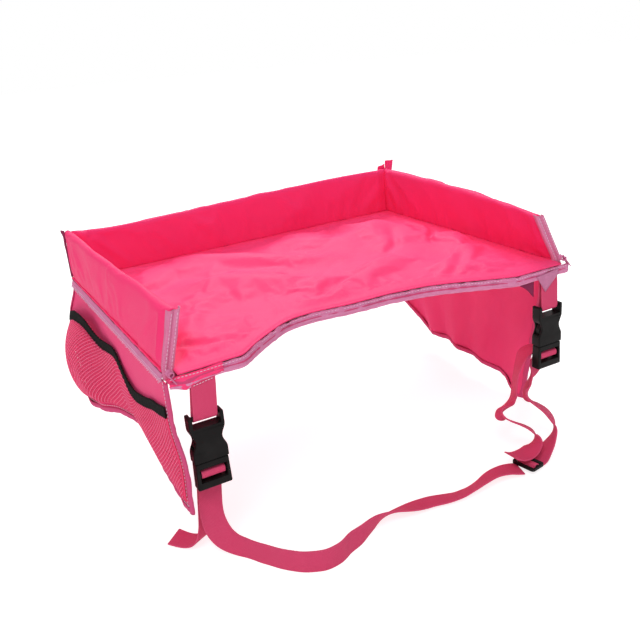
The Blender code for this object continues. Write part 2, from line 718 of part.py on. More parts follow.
def make_socket(name, x, coats, parts, cutters):
    """The female half: bar and webbing slot at its head, side windows, and an open mouth."""
    coat = coats["moulding"]
    centre = facing_front(x, TAB_Y, BAR_Z)
    body = outline_solid(name, [socket_ring()], SOCKET_DEPTH, centre, coat, parts)
    round_edges(body, SOCKET_ROUND)
    inside = SOCKET_HALF_WIDTH - EAR_WIDTH
    through = (TAB_Y - SOCKET_DEPTH / 2 - OVERRUN, TAB_Y + SOCKET_DEPTH / 2 + OVERRUN)
    slot = box(name + "_web_slot", (x - inside, x + inside), through,
               (BAR_Z - WEB_SLOT, BAR_Z + SOCKET_HEAD + OVERRUN), coat, parts)
    bar_ring = arc((0, 0), BAR_RADIUS, 0, 360, BAR_STEPS)[:-1]
    bar = outline_solid(name + "_bar", [bar_ring], 2 * SOCKET_HALF_WIDTH,
                        facing_side(x, TAB_Y, BAR_Z), coat, parts)
    combine(slot, bar, "DIFFERENCE", cutters)
    combine(body, slot, "DIFFERENCE", cutters)
    hollow = (TAB_Y - CAVITY_HALF_DEPTH, TAB_Y + CAVITY_HALF_DEPTH)
    cavity = box(name + "_cavity", (x - CAVITY_HALF_WIDTH, x + CAVITY_HALF_WIDTH), hollow,
                 (BAR_Z - SOCKET_MOUTH - OVERRUN, BAR_Z - CAVITY_TOP), coat, parts)
    combine(body, cavity, "DIFFERENCE", cutters)
    window_height = (BAR_Z - WINDOW_BOTTOM, BAR_Z - WINDOW_TOP)
    window_depth = (TAB_Y - WINDOW_HALF_DEPTH, TAB_Y + WINDOW_HALF_DEPTH)
    windows = box(name + "_windows", (x - SOCKET_HALF_WIDTH - OVERRUN, x + SOCKET_HALF_WIDTH + OVERRUN),
                  window_depth, window_height, coat, parts)
    combine(body, windows, "DIFFERENCE", cutters)
    return body


def plug_ring():
    foot = PLUG_TOP + PLUG_LENGTH
    narrow = PLUG_HALF_WIDTH - PLUG_TAPER
    return [(narrow, -PLUG_TOP), (PLUG_HALF_WIDTH, -foot), (-PLUG_HALF_WIDTH, -foot), (-narrow, -PLUG_TOP)]


def ladder_levels():
    """Top and foot of both slots, with the bar that the webbing goes over between them."""
    first = PLUG_TOP + LADDER_TOP
    bar = first + LADDER_SLOT
    second = bar + LADDER_BAR
    return first, bar, second, second + LADDER_SLOT


def make_plug(name, x, coats, parts, cutters):
    """The male half: a ladder lock for the webbing, and the tongue that guides it in."""
    coat = coats["moulding"]
    body = outline_solid(name, [plug_ring()], PLUG_DEPTH, facing_front(x, TAB_Y, BAR_Z), coat, parts)
    round_edges(body, PLUG_ROUND)
    first, bar, second, foot = ladder_levels()
    inside = PLUG_HALF_WIDTH - LADDER_SIDE
    across = (x - inside, x + inside)
    far = PLUG_DEPTH / 2 + OVERRUN
    for slot_name, top, bottom in (("upper_slot", first, bar), ("lower_slot", second, foot)):
        slot = box(name + "_" + slot_name, across, (TAB_Y - far, TAB_Y + far),
                   (BAR_Z - bottom, BAR_Z - top), coat, parts)
        combine(body, slot, "DIFFERENCE", cutters)
    half_bar = LADDER_BAR_DEPTH / 2
    recess_height = (BAR_Z - second - GAP, BAR_Z - bar + GAP)
    for recess_name, near, end in (("front_recess", -far, -half_bar), ("back_recess", half_bar, far)):
        recess = box(name + "_" + recess_name, across, (TAB_Y + near, TAB_Y + end), recess_height,
                     coat, parts)
        combine(body, recess, "DIFFERENCE", cutters)
    tongue_ring = [
        (TONGUE_HALF_WIDTH, -PLUG_TOP - LADDER_TOP / 2), (TONGUE_HALF_WIDTH, TONGUE_REACH - PLUG_TOP),
        (TONGUE_HALF_WIDTH / 2, TONGUE_REACH + TONGUE_TIP - PLUG_TOP),
        (-TONGUE_HALF_WIDTH / 2, TONGUE_REACH + TONGUE_TIP - PLUG_TOP),
        (-TONGUE_HALF_WIDTH, TONGUE_REACH - PLUG_TOP), (-TONGUE_HALF_WIDTH, -PLUG_TOP - LADDER_TOP / 2),
    ]
    tongue = outline_solid(name + "_tongue", [tongue_ring], 2 * TONGUE_HALF_DEPTH,
                           facing_front(x, TAB_Y, BAR_Z), coat, parts)
    combine(body, tongue, "UNION", cutters)
    return body


def prong_ring(hand):
    """One flexing arm: a slim root, a barb under the window's edge and a pad for the finger."""
    root = SOCKET_MOUTH
    inner = PRONG_ROOT_X - PRONG_ARM / 2
    outer = PRONG_ROOT_X + PRONG_ARM / 2
    barb = WINDOW_BOTTOM - GAP
    head = PRONG_HEAD_DROP
    pad = barb - head
    right = [
        (inner, -root), (outer, -root), (outer, -barb), (PRONG_BARB_X, -barb),
        (PRONG_PAD_X, -barb + pad / 4), (PRONG_PAD_X, -head - pad / 2),
        ((PRONG_PAD_X + PRONG_NOSE_X) / 2, -head - pad / 6), (PRONG_NOSE_X, -head),
        (inner, -head - pad / 8), (inner, -barb),
    ]
    return [(hand * x, z) for x, z in right]


def make_buckle(name, side, coats, parts, cutters):
    """Tab, socket, plug and prongs of one side, each carried at its own axis."""
    x = side * STRAP_X
    tab_axis = axis_empty(name + "_tab_axis", (x, TAB_Y, TAB_Z), parts)
    loop_radius = BAR_RADIUS + GAP
    reach = TAB_Z - BAR_Z
    rings = [
        teardrop(TAB_TOP_RADIUS, loop_radius + WEB_THICKNESS, reach),
        teardrop(TAB_EYE, loop_radius, reach - WEB_THICKNESS),
    ]
    tab = outline_solid(name + "_tab_webbing", rings, WEB_WIDTH, facing_side(x, TAB_Y, BAR_Z),
                        coats["binding"], parts)
    carry(tab, tab_axis)
    bar_axis = axis_empty(name + "_buckle_axis", (x, TAB_Y, BAR_Z), parts, tab_axis)
    carry(make_socket(name + "_buckle_socket", x, coats, parts, cutters), bar_axis)
    plug_axis = axis_empty(name + "_plug_axis", (x, TAB_Y, BAR_Z - PLUG_TOP), parts, bar_axis)
    carry(make_plug(name + "_buckle_plug", x, coats, parts, cutters), plug_axis)
    for hand_name, hand in (("left", -1), ("right", 1)):
        root = (x + hand * PRONG_ROOT_X, TAB_Y, BAR_Z - SOCKET_MOUTH)
        prong_name = name + "_plug_" + hand_name + "_prong"
        prong_axis = axis_empty(prong_name + "_axis", root, parts, plug_axis)
        prong = outline_solid(prong_name, [prong_ring(hand)], 2 * PRONG_HALF_DEPTH,
                              facing_front(x, TAB_Y, BAR_Z), coats["moulding"], parts)
        carry(prong, prong_axis)
    wrap = make_ladder_wrap(name + "_plug_webbing", x, coats, parts)
    carry(wrap, plug_axis)
    return plug_axis


# Strap


def make_ladder_wrap(name, x, coats, parts):
    """The turn of webbing over the ladder bar, in by one slot and out by the other."""
    _, bar, second, _ = ladder_levels()
    near = -LADDER_BAR_DEPTH / 2 - GAP
    far = PLUG_DEPTH / 2 + 2 * GAP
    low = -second - GAP
    high = -bar + GAP
    front = near - WEB_THICKNESS
    cut = WEB_THICKNESS / 2
    ring = [
        (near, low), (far, low), (far, low - WEB_THICKNESS), (front + cut, low - WEB_THICKNESS),
        (front, low - WEB_THICKNESS + cut), (front, high + WEB_THICKNESS - cut),
        (front + cut, high + WEB_THICKNESS), (far, high + WEB_THICKNESS), (far, high), (near, high),
    ]
    return outline_solid(name, [ring], WEB_WIDTH, facing_side(x, TAB_Y, BAR_Z), coats["webbing"], parts)


def moved(point):
    """A point of a route, moved along with the buckles that hold the webbing."""
    x, y, z = point
    return Vector((x * STRAP_X / ROUTE_STRAP_X, y + TAB_Y - ROUTE_TAB_Y, z + BAR_Z - ROUTE_BAR_Z))


def ribbon(name, route, spread, coat, parts):
    """A free stretch of webbing along its route, its width turned from point to point."""
    points = [moved(point) for point in route]
    widths = [Vector(direction).normalized() for direction in spread]
    steps = STRAP_STEPS_PER_POINT * (len(points) - 1)

    def place(position, across, depth):
        probe = 1 / STRAP_STEPS_PER_POINT
        ahead = smooth_between(points, min(position + probe, len(points) - 1))
        behind = smooth_between(points, max(position - probe, 0))
        heading = (ahead - behind).normalized()
        width = smooth_between(widths, position)
        width = (width - heading * width.dot(heading)).normalized()
        normal = heading.cross(width)
        return smooth_between(points, position) + width * across + normal * depth

    stations = (
        evenly(0, len(points) - 1, steps),
        (-WEB_WIDTH / 2, WEB_WIDTH / 2),
        (-WEB_THICKNESS / 2, WEB_THICKNESS / 2),
    )
    return block(name, place, stations, coat, parts)


def slider_ring():
    half_length = SLIDER_LENGTH / 2 - SLIDER_CORNER
    half_width = SLIDER_WIDTH / 2 - SLIDER_CORNER
    ring = []
    for x, y, start in ((1, 1, 0), (-1, 1, 90), (-1, -1, 180), (1, -1, 270)):
        centre = (x * half_length, y * half_width)
        ring += arc(centre, SLIDER_CORNER, start, start + 90, CORNER_STEPS)
    return ring


def make_slider(coats, parts, carrier):
    """The slider with its two slots, and the webbing that goes over its middle bar."""
    place = moved(ROUTE_SLIDER)
    frame = Matrix.Translation(place) @ Matrix.Rotation(SLIDER_HEADING, 4, "Z")
    half_slot = WEB_WIDTH / 2 + 2 * GAP
    near = SLIDER_BAR / 2
    far = near + SLIDER_SLOT_LENGTH
    rings = [slider_ring(), rectangle(near, far, -half_slot, half_slot),
             rectangle(-far, -near, -half_slot, half_slot)]
    axis = axis_empty("slider_axis", place, parts, carrier)
    slider = outline_solid("slider", rings, SLIDER_THICKNESS, frame, coats["moulding"], parts)
    carry(slider, axis)
    low = -SLIDER_THICKNESS / 2 - WRAP_RISE
    high = SLIDER_THICKNESS / 2 + GAP
    inner = near + GAP
    outer = inner + WEB_THICKNESS
    wrap_ring = [
        (-outer, low), (-inner, low), (-inner, high), (inner, high), (inner, low), (outer, low),
        (outer, high + WEB_THICKNESS), (-outer, high + WEB_THICKNESS),
    ]
    stand = Matrix.Rotation(math.radians(90), 4, "X")
    wrap = outline_solid("slider_webbing", [wrap_ring], WEB_WIDTH, frame @ stand, coats["webbing"], parts)
    carry(wrap, axis)


def make_strap(coats, parts, plug_axes):
    coat = coats["webbing"]
    stretches = (
        ("strap_tail", TAIL_ROUTE, TAIL_SPREAD, "left"),
        ("strap_run", RUN_ROUTE, RUN_SPREAD, "left"),
        ("strap_loop_out", OUT_ROUTE, OUT_SPREAD, "right"),
        ("strap_loop_back", BACK_ROUTE, BACK_SPREAD, "right"),
    )
    for name, route, spread, side in stretches:
        carry(ribbon(name, route, spread, coat, parts), plug_axes[side])
    make_slider(coats, parts, plug_axes["left"])


def main():
    clear_scene()
    parts = new_collection("car_seat_tray_table")
    cutters = new_collection("cutters")
    coats = make_materials()
    make_floor(coats, parts)
    make_walls(coats, parts, cutters)
    make_front_binding(coats, parts)
    make_base_bindings(coats, parts)
    make_corner_seams(coats, parts)
    for name, flap in FLAPS.items():
        make_flap(name, flap, coats, parts)
    plug_axes = {name: make_buckle(name, side, coats, parts, cutters) for name, side in SIDES.items()}
    make_strap(coats, parts, plug_axes)


main()
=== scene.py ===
"""Car seat tray table: soft boarded tray with hanging flaps, mesh pockets and a buckled webbing strap."""

import json
import math

import bmesh
import bpy
from bpy.props import FloatProperty, FloatVectorProperty, PointerProperty
from mathutils import Matrix, Vector, noise

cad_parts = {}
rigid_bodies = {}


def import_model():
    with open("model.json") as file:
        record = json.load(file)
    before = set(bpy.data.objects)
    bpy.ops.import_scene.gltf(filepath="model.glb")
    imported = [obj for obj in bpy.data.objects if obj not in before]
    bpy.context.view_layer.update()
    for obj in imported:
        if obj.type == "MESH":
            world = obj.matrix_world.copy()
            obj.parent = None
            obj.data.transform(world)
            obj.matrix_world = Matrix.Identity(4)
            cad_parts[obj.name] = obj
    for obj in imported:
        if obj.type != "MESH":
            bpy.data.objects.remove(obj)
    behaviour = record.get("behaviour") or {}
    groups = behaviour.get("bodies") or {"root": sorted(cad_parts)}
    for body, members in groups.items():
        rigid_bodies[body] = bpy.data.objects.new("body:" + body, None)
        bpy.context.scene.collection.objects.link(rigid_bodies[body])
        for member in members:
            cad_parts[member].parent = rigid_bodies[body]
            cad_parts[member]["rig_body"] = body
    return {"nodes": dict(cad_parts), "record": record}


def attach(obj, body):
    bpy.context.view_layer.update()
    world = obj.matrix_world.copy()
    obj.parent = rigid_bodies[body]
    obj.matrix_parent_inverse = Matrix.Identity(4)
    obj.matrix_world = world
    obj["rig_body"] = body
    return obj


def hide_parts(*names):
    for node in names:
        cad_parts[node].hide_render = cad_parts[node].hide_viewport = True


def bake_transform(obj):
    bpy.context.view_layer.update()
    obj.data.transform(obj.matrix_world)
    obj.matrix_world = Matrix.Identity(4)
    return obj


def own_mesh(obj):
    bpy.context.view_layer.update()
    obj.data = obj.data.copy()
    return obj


bl_info = {
    "name": "Car seat tray table",
    "version": (1, 0, 0),
    "blender": (4, 5, 0),
    "location": "View3D > Sidebar > Tray",
    "description": "Builds a soft car seat tray table around its solid model",
    "category": "Object",
}

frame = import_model()

# Sizes shared with the solid model
GAP = 0.0003
HALF_WIDTH = 0.200
BACK_REACH = 0.150
FRONT_REACH = 0.155
CUTOUT_DEPTH = 0.042
CUTOUT_HALF_WIDTH = 0.140
CUTOUT_SHARES = (
    0.04, 0.41, 0.74, 1.01, 1.10, 1.07, 1.00, 0.985, 0.975, 0.915, 0.83, 0.655, 0.43, 0.19, 0,
)
FLOOR_TOP = 0.0080
WALL_FOOT = 0.0013
WALL_HEIGHT = 0.0567
WALL_THICKNESS = 0.007
WALL_LENGTH = 0.2945
LEAN_START = 0.0080
WALL_LEANS = {"left": (0.013, 0.002), "right": (0.019, 0.006)}
WALL_TOPS = {"left": (0, -0.0006, -0.0018, -0.0032, -0.0050), "right": (0.0010, 0.0006, 0, -0.0016, -0.0044),
             "back": (0.0, -0.0040, -0.0034, -0.0020, -0.0006, 0.0006, 0.0014, 0.0016, 0.0010)}
WALL_RIPPLE = 0.0004
RIPPLE_LENGTH = 0.082
BINDING_THICKNESS = 0.0016
BINDING_HEIGHT = 0.0084
FLAP_THICKNESS = 0.0016
FLAP_BACK = 0.145
FLAP_BACK_DRIFT = 0.030
FOLD_LENGTH = 0.064
SWAY_SHARES = (
    (0, 0.70, 0.90, 0.70), (0, 0.50, 0.90, 1.10), (0, 0.20, 0.50, 0.80), (0, 0.05, 0.10, 0.00),
    (0, 0.00, -0.10, -0.75), (0, 0.00, 0.00, -0.75), (0, 0.00, 0.05, -0.30),
    (0, 0.00, -0.10, -0.20), (0, 0.03, -0.25, -0.15),
)
POCKET_MOUTH_DROP = 0.043
POCKET_MARGIN = 0.006
MOUTH_DROP_SHARES = (0.78, 0.56, 0.54, 0.74, 0.72, 1.17, 1.08, 0.86, 0.70)
BULGE_SHARES = (0, 0.85, 1.00, 0.50, 0.14, 0.12, 0.12, 0.08, 0)
MOUTH_BULGE = 0.007
BELLY_BULGE = 0.015
ELASTIC_HEIGHT = 0.009
WEB_WIDTH = 0.020
WEB_THICKNESS = 0.0014
STRAP_X = 0.177
TAB_Y = -0.1542
BAR_Z = -0.0333
SIDES = {"left": -1, "right": 1}

# Cloth and tape: where the front tape changes cloth, the slant and half width of the net ribs, the shortest strap
# stretch, and white
CORNER_END = -0.1555
NET_RIB_LEAN = 0.95
NET_RIB_HALF_WIDTH = 0.0004
SHORTEST_CORD = 6 * WEB_WIDTH
WHITE = (1.0, 1.0, 1.0, 1.0)

# Where the camera stands and how it is turned
CAMERA_PLACE = (-0.3417, -0.6801, 0.2494)
CAMERA_YAW = 0.4776
CAMERA_PITCH = 0.3734
CAMERA_ROLL = -0.0867
CAMERA_LENS = 44.46
STAGE_HEIGHT = -0.1652
AMBIENT = 0.52
STAGE_GLOW = 0.78
STAGE_BOUNCE = 0.30

TAIL_ROUTE = [
    (-0.1770, -0.1483, -0.0793), (-0.1770, -0.1460, -0.0793), (-0.1770, -0.1436, -0.0800),
    (-0.1770, -0.1420, -0.0825), (-0.1770, -0.1413, -0.0880), (-0.1775, -0.1410, -0.1000),
    (-0.1790, -0.1405, -0.1150), (-0.1805, -0.1395, -0.1300), (-0.1825, -0.1370, -0.1440),
    (-0.1860, -0.1325, -0.1550), (-0.1915, -0.1260, -0.1610), (-0.1985, -0.1175, -0.1630),
    (-0.2060, -0.1085, -0.1615),
]
TAIL_SPREAD = [
    (1, 0, 0), (1, 0, 0), (1, 0, 0), (1, 0, 0), (1, 0, 0), (1, 0, 0),
    (1, 0, 0), (1, 0.1, 0), (1, 0.25, 0), (0.95, 0.45, 0), (0.85, 0.6, 0), (0.8, 0.65, 0),
    (0.8, 0.65, 0.1),
]
RUN_ROUTE = [
    (-0.1770, -0.1483, -0.0857), (-0.1770, -0.1470, -0.0858), (-0.1770, -0.1455, -0.0868),
    (-0.1770, -0.1449, -0.0888), (-0.1775, -0.1449, -0.0970), (-0.1790, -0.1458, -0.1100),
    (-0.1805, -0.1472, -0.1240), (-0.1795, -0.1495, -0.1370), (-0.1755, -0.1535, -0.1475),
    (-0.1690, -0.1600, -0.1535), (-0.1610, -0.1710, -0.1550), (-0.1530, -0.1850, -0.1550),
    (-0.1430, -0.2000, -0.1550), (-0.1310, -0.2120, -0.1550), (-0.1160, -0.2190, -0.1550),
    (-0.1020, -0.2180, -0.1550), (-0.0890, -0.2120, -0.1550), (-0.0740, -0.2070, -0.1555),
    (-0.0580, -0.2000, -0.1560), (-0.0420, -0.1955, -0.1570), (-0.0280, -0.1945, -0.1590),
    (-0.0130, -0.1945, -0.1610), (0.0020, -0.1950, -0.1625), (0.0170, -0.1980, -0.1630),
    (0.0310, -0.2010, -0.1630), (0.0430, -0.2020, -0.1615), (0.0560, -0.2010, -0.1595),
    (0.0700, -0.1995, -0.1580), (0.0840, -0.1995, -0.1585), (0.0940, -0.2010, -0.1600),
    (0.1010, -0.2030, -0.1616),
]
RUN_SPREAD = [
    (1, 0, 0), (1, 0, 0), (1, 0, 0), (1, 0, 0), (1, 0, 0), (1, 0, 0.1), (0.95, 0, 0.3),
    (0.8, 0, 0.6), (0.5, 0, 0.85), (0.2, 0, 1), (0, 0, 1), (0, 0, 1), (0, 0, 1),
    (0, 0, 1), (0, 0, 1), (0, 0, 1), (0, 0, 1), (0, -0.1, 1), (0, -0.4, 1),
    (0, -0.9, 0.8), (0, -1, 0.45), (0, -1, 0.2), (0, -1, 0.15), (0, -1, 0.2), (0, -1, 0.35),
    (0, -1, 0.5), (0, -1, 0.5), (0, -1, 0.3), (0, -1, 0.1), (-0.17, -1, 0), (-0.17, -1, 0),
]
OUT_ROUTE = [
    (0.1770, -0.1483, -0.0857), (0.1770, -0.1469, -0.0859), (0.1769, -0.1452, -0.0875),
    (0.1765, -0.1441, -0.0910), (0.1750, -0.1434, -0.0960), (0.1700, -0.1440, -0.1020),
    (0.1615, -0.1480, -0.1085), (0.1535, -0.1535, -0.1145), (0.1485, -0.1590, -0.1180),
    (0.1475, -0.1650, -0.1205), (0.1495, -0.1720, -0.1235), (0.1540, -0.1790, -0.1285),
    (0.1567, -0.1850, -0.1355), (0.1545, -0.1900, -0.1430), (0.1446, -0.1950, -0.1500),
    (0.1330, -0.1990, -0.1560), (0.1260, -0.2005, -0.1600), (0.1200, -0.2010, -0.1616),
]
OUT_SPREAD = [
    (1, 0, 0), (1, 0, 0), (1, 0, 0), (1, 0, 0), (1, 0, 0), (0.95, 0.3, 0),
    (0.6, 0.75, -0.2), (0.45, 0.8, -0.3), (0.5, 0.8, -0.3), (0.6, 0.75, -0.3), (0.7, 0.7, -0.3),
    (0.8, 0.6, -0.3), (0.8, 0.6, -0.35), (0.65, 0.7, -0.35), (0.4, 0.9, -0.3), (0, 1, -0.2),
    (-0.15, 1, 0), (-0.17, 1, 0),
]
BACK_ROUTE = [
    (0.1770, -0.1483, -0.0793), (0.1770, -0.1460, -0.0793), (0.1766, -0.1430, -0.0796),
    (0.1748, -0.1396, -0.0804), (0.1710, -0.1370, -0.0820), (0.1660, -0.1362, -0.0850),
    (0.1600, -0.1380, -0.0900), (0.1530, -0.1415, -0.0955), (0.1465, -0.1450, -0.1020),
    (0.1415, -0.1485, -0.1105), (0.1365, -0.1520, -0.1185), (0.1275, -0.1560, -0.1222),
    (0.1170, -0.1605, -0.1225), (0.1105, -0.1655, -0.1235), (0.1115, -0.1715, -0.1265),
    (0.1195, -0.1780, -0.1312), (0.1282, -0.1835, -0.1370), (0.1325, -0.1880, -0.1425),
    (0.1290, -0.1920, -0.1478), (0.1205, -0.1955, -0.1505), (0.1110, -0.1980, -0.1518),
    (0.1010, -0.1985, -0.1505), (0.0930, -0.1975, -0.1470),
]
BACK_SPREAD = [
    (1, 0, 0), (1, 0, 0), (0.97, 0.25, 0), (0.8, 0.6, 0), (0.45, 0.9, 0), (0.2, 1, 0),
    (0.3, 0.9, -0.2), (0.4, 0.85, -0.3), (0.43, 0.83, -0.36), (0.43, 0.83, -0.36),
    (0.43, 0.83, -0.36), (0.43, 0.83, -0.36), (0.43, 0.83, -0.36), (0.43, 0.83, -0.36),
    (0.43, 0.83, -0.36), (0.43, 0.83, -0.36), (0.6, 0.75, -0.36), (0.6, 0.7, -0.36),
    (0.35, 0.9, -0.3), (0.05, 1, -0.1), (-0.1, 1, 0), (-0.15, 1, 0), (-0.15, 1, 0),
]


# Sizes and colours that a user would change


def length(name, description, default):
    return FloatProperty(name=name, description=description, default=default, min=0.0, unit="LENGTH",
                         precision=5)


def colour(name, description, default):
    return FloatVectorProperty(name=name, description=description, default=default, min=0.0, max=1.0,
                               size=3, subtype="COLOR")


class TraySizes(bpy.types.PropertyGroup):
    fold_depth: length("Floor folds", "Height of the loose folds in the floor cloth", 0.0030)
    wall_padding: length("Wall padding", "How far the padding swells each face of a wall", 0.0016)
    tape_pucker: length("Tape pucker", "Depth of the puckers along a sewn tape", 0.0012)
    net_pitch: length("Net pitch", "Distance between the holes of the mesh pockets", 0.0030)
    net_thread: length("Net thread", "Thickness of the threads of the mesh pockets", 0.0013)
    net_rib_pitch: length("Net rib pitch", "Distance between the heavier slanting threads", 0.0048)
    stitch_pitch: length("Stitch pitch", "Distance from one stitch to the next", 0.0030)


class TrayColours(bpy.types.PropertyGroup):
    floor: colour("Floor", "Woven cloth of the tray floor", (1.0, 0.046, 0.180))
    floor_light: colour("Floor, lit threads", "Paler clouds in the cloth of the tray floor", (1.0, 0.105, 0.300))
    wall: colour("Walls", "Woven cloth of the walls", (0.95, 0.026, 0.165))
    flap: colour("Flaps", "Woven cloth of the flaps and the underside", (0.90, 0.054, 0.200))
    net: colour("Net", "Knitted threads of the pockets", (0.94, 0.036, 0.150))
    net_rib: colour("Net ribs", "Heavier slanting threads of the net", (1.0, 0.120, 0.300))
    tape: colour("Tape", "Lilac tape of the sewn edges", (0.62, 0.120, 0.290))
    tape_light: colour("Tape, lit threads", "Paler threads and frayed edges of the tape", (0.80, 0.420, 0.620))
    hem: colour("Hems", "Rose tape of the hems of the flaps", (0.64, 0.050, 0.150))
    tape_dark: colour("Dark tape", "Shaded folds of tape, and the corner seams", (0.24, 0.014, 0.070))
    webbing: colour("Webbing", "Strap and tabs", (0.66, 0.042, 0.130))
    black: colour("Black", "Elastic and mouldings", (0.007, 0.006, 0.006))
    board: colour("Board", "Stiffening boards", (0.75, 0.75, 0.72))


def sizes():
    return bpy.context.scene.tray_sizes


def colours():
    return bpy.context.scene.tray_colours


# Node tools


def add_node(tree, kind, inputs=None, **settings):
    node = tree.nodes.new(kind)
    for key, value in settings.items():
        setattr(node, key, value)
    for key, value in (inputs or {}).items():
        if isinstance(value, bpy.types.NodeSocket):
            tree.links.new(value, node.inputs[key])
        else:
            node.inputs[key].default_value = value
    return node


def number(tree, operation, first, second=0.0):
    """A Math node's result."""
    return add_node(tree, "ShaderNodeMath", {0: first, 1: second}, operation=operation).outputs[0]


def blend_colours(tree, share, first, second, way="MIX"):
    node = add_node(tree, "ShaderNodeMix", {0: share, 6: first, 7: second}, data_type="RGBA",
                    blend_type=way)
    return node.outputs[2]


def start_group(name, inputs, outputs):
    tree = bpy.data.node_groups.new(name, "ShaderNodeTree")
    for label, kind, value in inputs:
        socket = tree.interface.new_socket(label, in_out="INPUT", socket_type=kind)
        if value is not None:
            socket.default_value = value
    for label, kind in outputs:
        tree.interface.new_socket(label, in_out="OUTPUT", socket_type=kind)
    return tree, add_node(tree, "NodeGroupInput").outputs, add_node(tree, "NodeGroupOutput").inputs


def group_of(name, build):
    return bpy.data.node_groups.get(name) or build(name)


def wave(tree, value, pitch):
    """A sine along a length, one turn to each pitch."""
    turns = number(tree, "DIVIDE", value, pitch)
    return number(tree, "SINE", number(tree, "MULTIPLY", turns, math.tau))


def texture(tree, given, scale, detail):
    """Noise over the lengths that the material is given."""
    values = {"Vector": given["Vector"], "Scale": scale, "Detail": detail}
    return add_node(tree, "ShaderNodeTexNoise", values).outputs[0]


def added(tree, share, value, weight):
    """A share with a weighted value on top."""
    return number(tree, "ADD", share, number(tree, "MULTIPLY", value, weight))


SURFACE_INPUTS = [("Vector", "NodeSocketVector", None), ("Colour", "NodeSocketColor", WHITE),
                  ("Light", "NodeSocketColor", WHITE)]
SURFACE_OUTPUTS = [("Colour", "NodeSocketColor"), ("Height", "NodeSocketFloat")]


def build_woven(name):
    """Plain weave with soft clouds of colour: threads both ways, and slubs that catch the light."""
    inputs = SURFACE_INPUTS + [("Pitch", "NodeSocketFloat", 0.0006), ("Clouds", "NodeSocketFloat", 0.5)]
    tree, given, out = start_group(name, inputs, SURFACE_OUTPUTS)
    axes = add_node(tree, "ShaderNodeSeparateXYZ", {0: given["Vector"]}).outputs
    warp = wave(tree, axes[0], given["Pitch"])
    weft = wave(tree, axes[1], given["Pitch"])
    weave = number(tree, "MULTIPLY", warp, weft)
    slub = texture(tree, given, 420.0, 2.0)
    share = number(tree, "MULTIPLY", texture(tree, given, 14.0, 3.0), given["Clouds"])
    share = added(tree, added(tree, share, weave, 0.06), slub, 0.16)
    tree.links.new(blend_colours(tree, share, given["Colour"], given["Light"]), out["Colour"])
    tree.links.new(added(tree, weave, slub, 1.4), out["Height"])
    return tree


def build_webbing(name):
    """Webbing: ribs across, a twill that turns at the middle, and firmer edges."""
    inputs = SURFACE_INPUTS + [("Width", "NodeSocketFloat", WEB_WIDTH)]
    tree, given, out = start_group(name, inputs, SURFACE_OUTPUTS)
    axes = add_node(tree, "ShaderNodeSeparateXYZ", {0: given["Vector"]}).outputs
    from_middle = number(tree, "ABSOLUTE", axes[1])
    slanted = number(tree, "ADD", axes[0], from_middle)
    ribs = wave(tree, slanted, 0.0016)
    cords = wave(tree, axes[1], 0.0010)
    weave = number(tree, "ADD", number(tree, "MULTIPLY", ribs, 0.6), number(tree, "MULTIPLY", cords, 0.4))
    share_out = number(tree, "DIVIDE", from_middle, given["Width"])
    edge = number(tree, "MULTIPLY", number(tree, "GREATER_THAN", share_out, 0.44), 0.5)
    share = added(tree, number(tree, "MULTIPLY", weave, 0.16), texture(tree, given, 620.0, 2.0), 0.35)
    share = added(tree, added(tree, share, texture(tree, given, 30.0, 2.0), 0.25), edge, 0.20)
    tree.links.new(blend_colours(tree, share, given["Colour"], given["Light"]), out["Colour"])
    tree.links.new(number(tree, "ADD", weave, edge), out["Height"])
    return tree


def build_grain(name):
    """Fine moulded grain with faint rubbed patches."""
    inputs = SURFACE_INPUTS + [("Grain", "NodeSocketFloat", 1800.0)]
    tree, given, out = start_group(name, inputs, SURFACE_OUTPUTS + [("Roughness", "NodeSocketFloat")])
    broad = texture(tree, given, 70.0, 4.0)
    rubbed = number(tree, "MULTIPLY", number(tree, "SUBTRACT", broad, 0.45), 1.5)
    mixed = blend_colours(tree, number(tree, "MAXIMUM", rubbed, 0.0), given["Colour"], given["Light"])
    tree.links.new(mixed, out["Colour"])
    tree.links.new(texture(tree, given, given["Grain"], 2.0), out["Height"])
    tree.links.new(added(tree, 0.30, broad, 0.22), out["Roughness"])
    return tree


def paler(shade, share, towards=(1.0, 1.0, 1.0)):
    return tuple(value + (end - value) * share for value, end in zip(shade, towards))


def four(shade):
    return (*shade, 1.0)


def worked(name):
    return bpy.data.materials["worked_" + name]


def make_material(name, group, values, coordinate, roughness, bump, sheen=0.0, specular=0.5):
    """A material whose colour and relief come from one node group."""
    material = bpy.data.materials.new("worked_" + name)
    material.use_nodes = True
    tree = material.node_tree
    shader = tree.nodes["Principled BSDF"]
    if coordinate == "UV":
        place = add_node(tree, "ShaderNodeUVMap", uv_map="lengths").outputs[0]
    else:
        place = add_node(tree, "ShaderNodeTexCoord").outputs["Object"]
    pattern = add_node(tree, "ShaderNodeGroup", node_tree=group)
    for key, value in values.items():
        pattern.inputs[key].default_value = value
    tree.links.new(place, pattern.inputs["Vector"])
    tree.links.new(pattern.outputs["Colour"], shader.inputs["Base Color"])
    relief = add_node(tree, "ShaderNodeBump", {"Height": pattern.outputs["Height"], "Distance": bump,
                                               "Strength": 1.0})
    tree.links.new(relief.outputs[0], shader.inputs["Normal"])
    if "Roughness" in pattern.outputs:
        tree.links.new(pattern.outputs["Roughness"], shader.inputs["Roughness"])
    else:
        shader.inputs["Roughness"].default_value = roughness
    shader.inputs["Sheen Weight"].default_value = sheen
    shader.inputs["Sheen Roughness"].default_value = 0.45
    shader.inputs["Specular IOR Level"].default_value = specular
    return material


def cloth_values(shade, light, clouds, pitch=0.0007):
    return {"Colour": four(shade), "Light": four(light), "Pitch": pitch, "Clouds": clouds}


def web_values(shade, light, width):
    return {"Colour": four(shade), "Light": four(light), "Width": width}


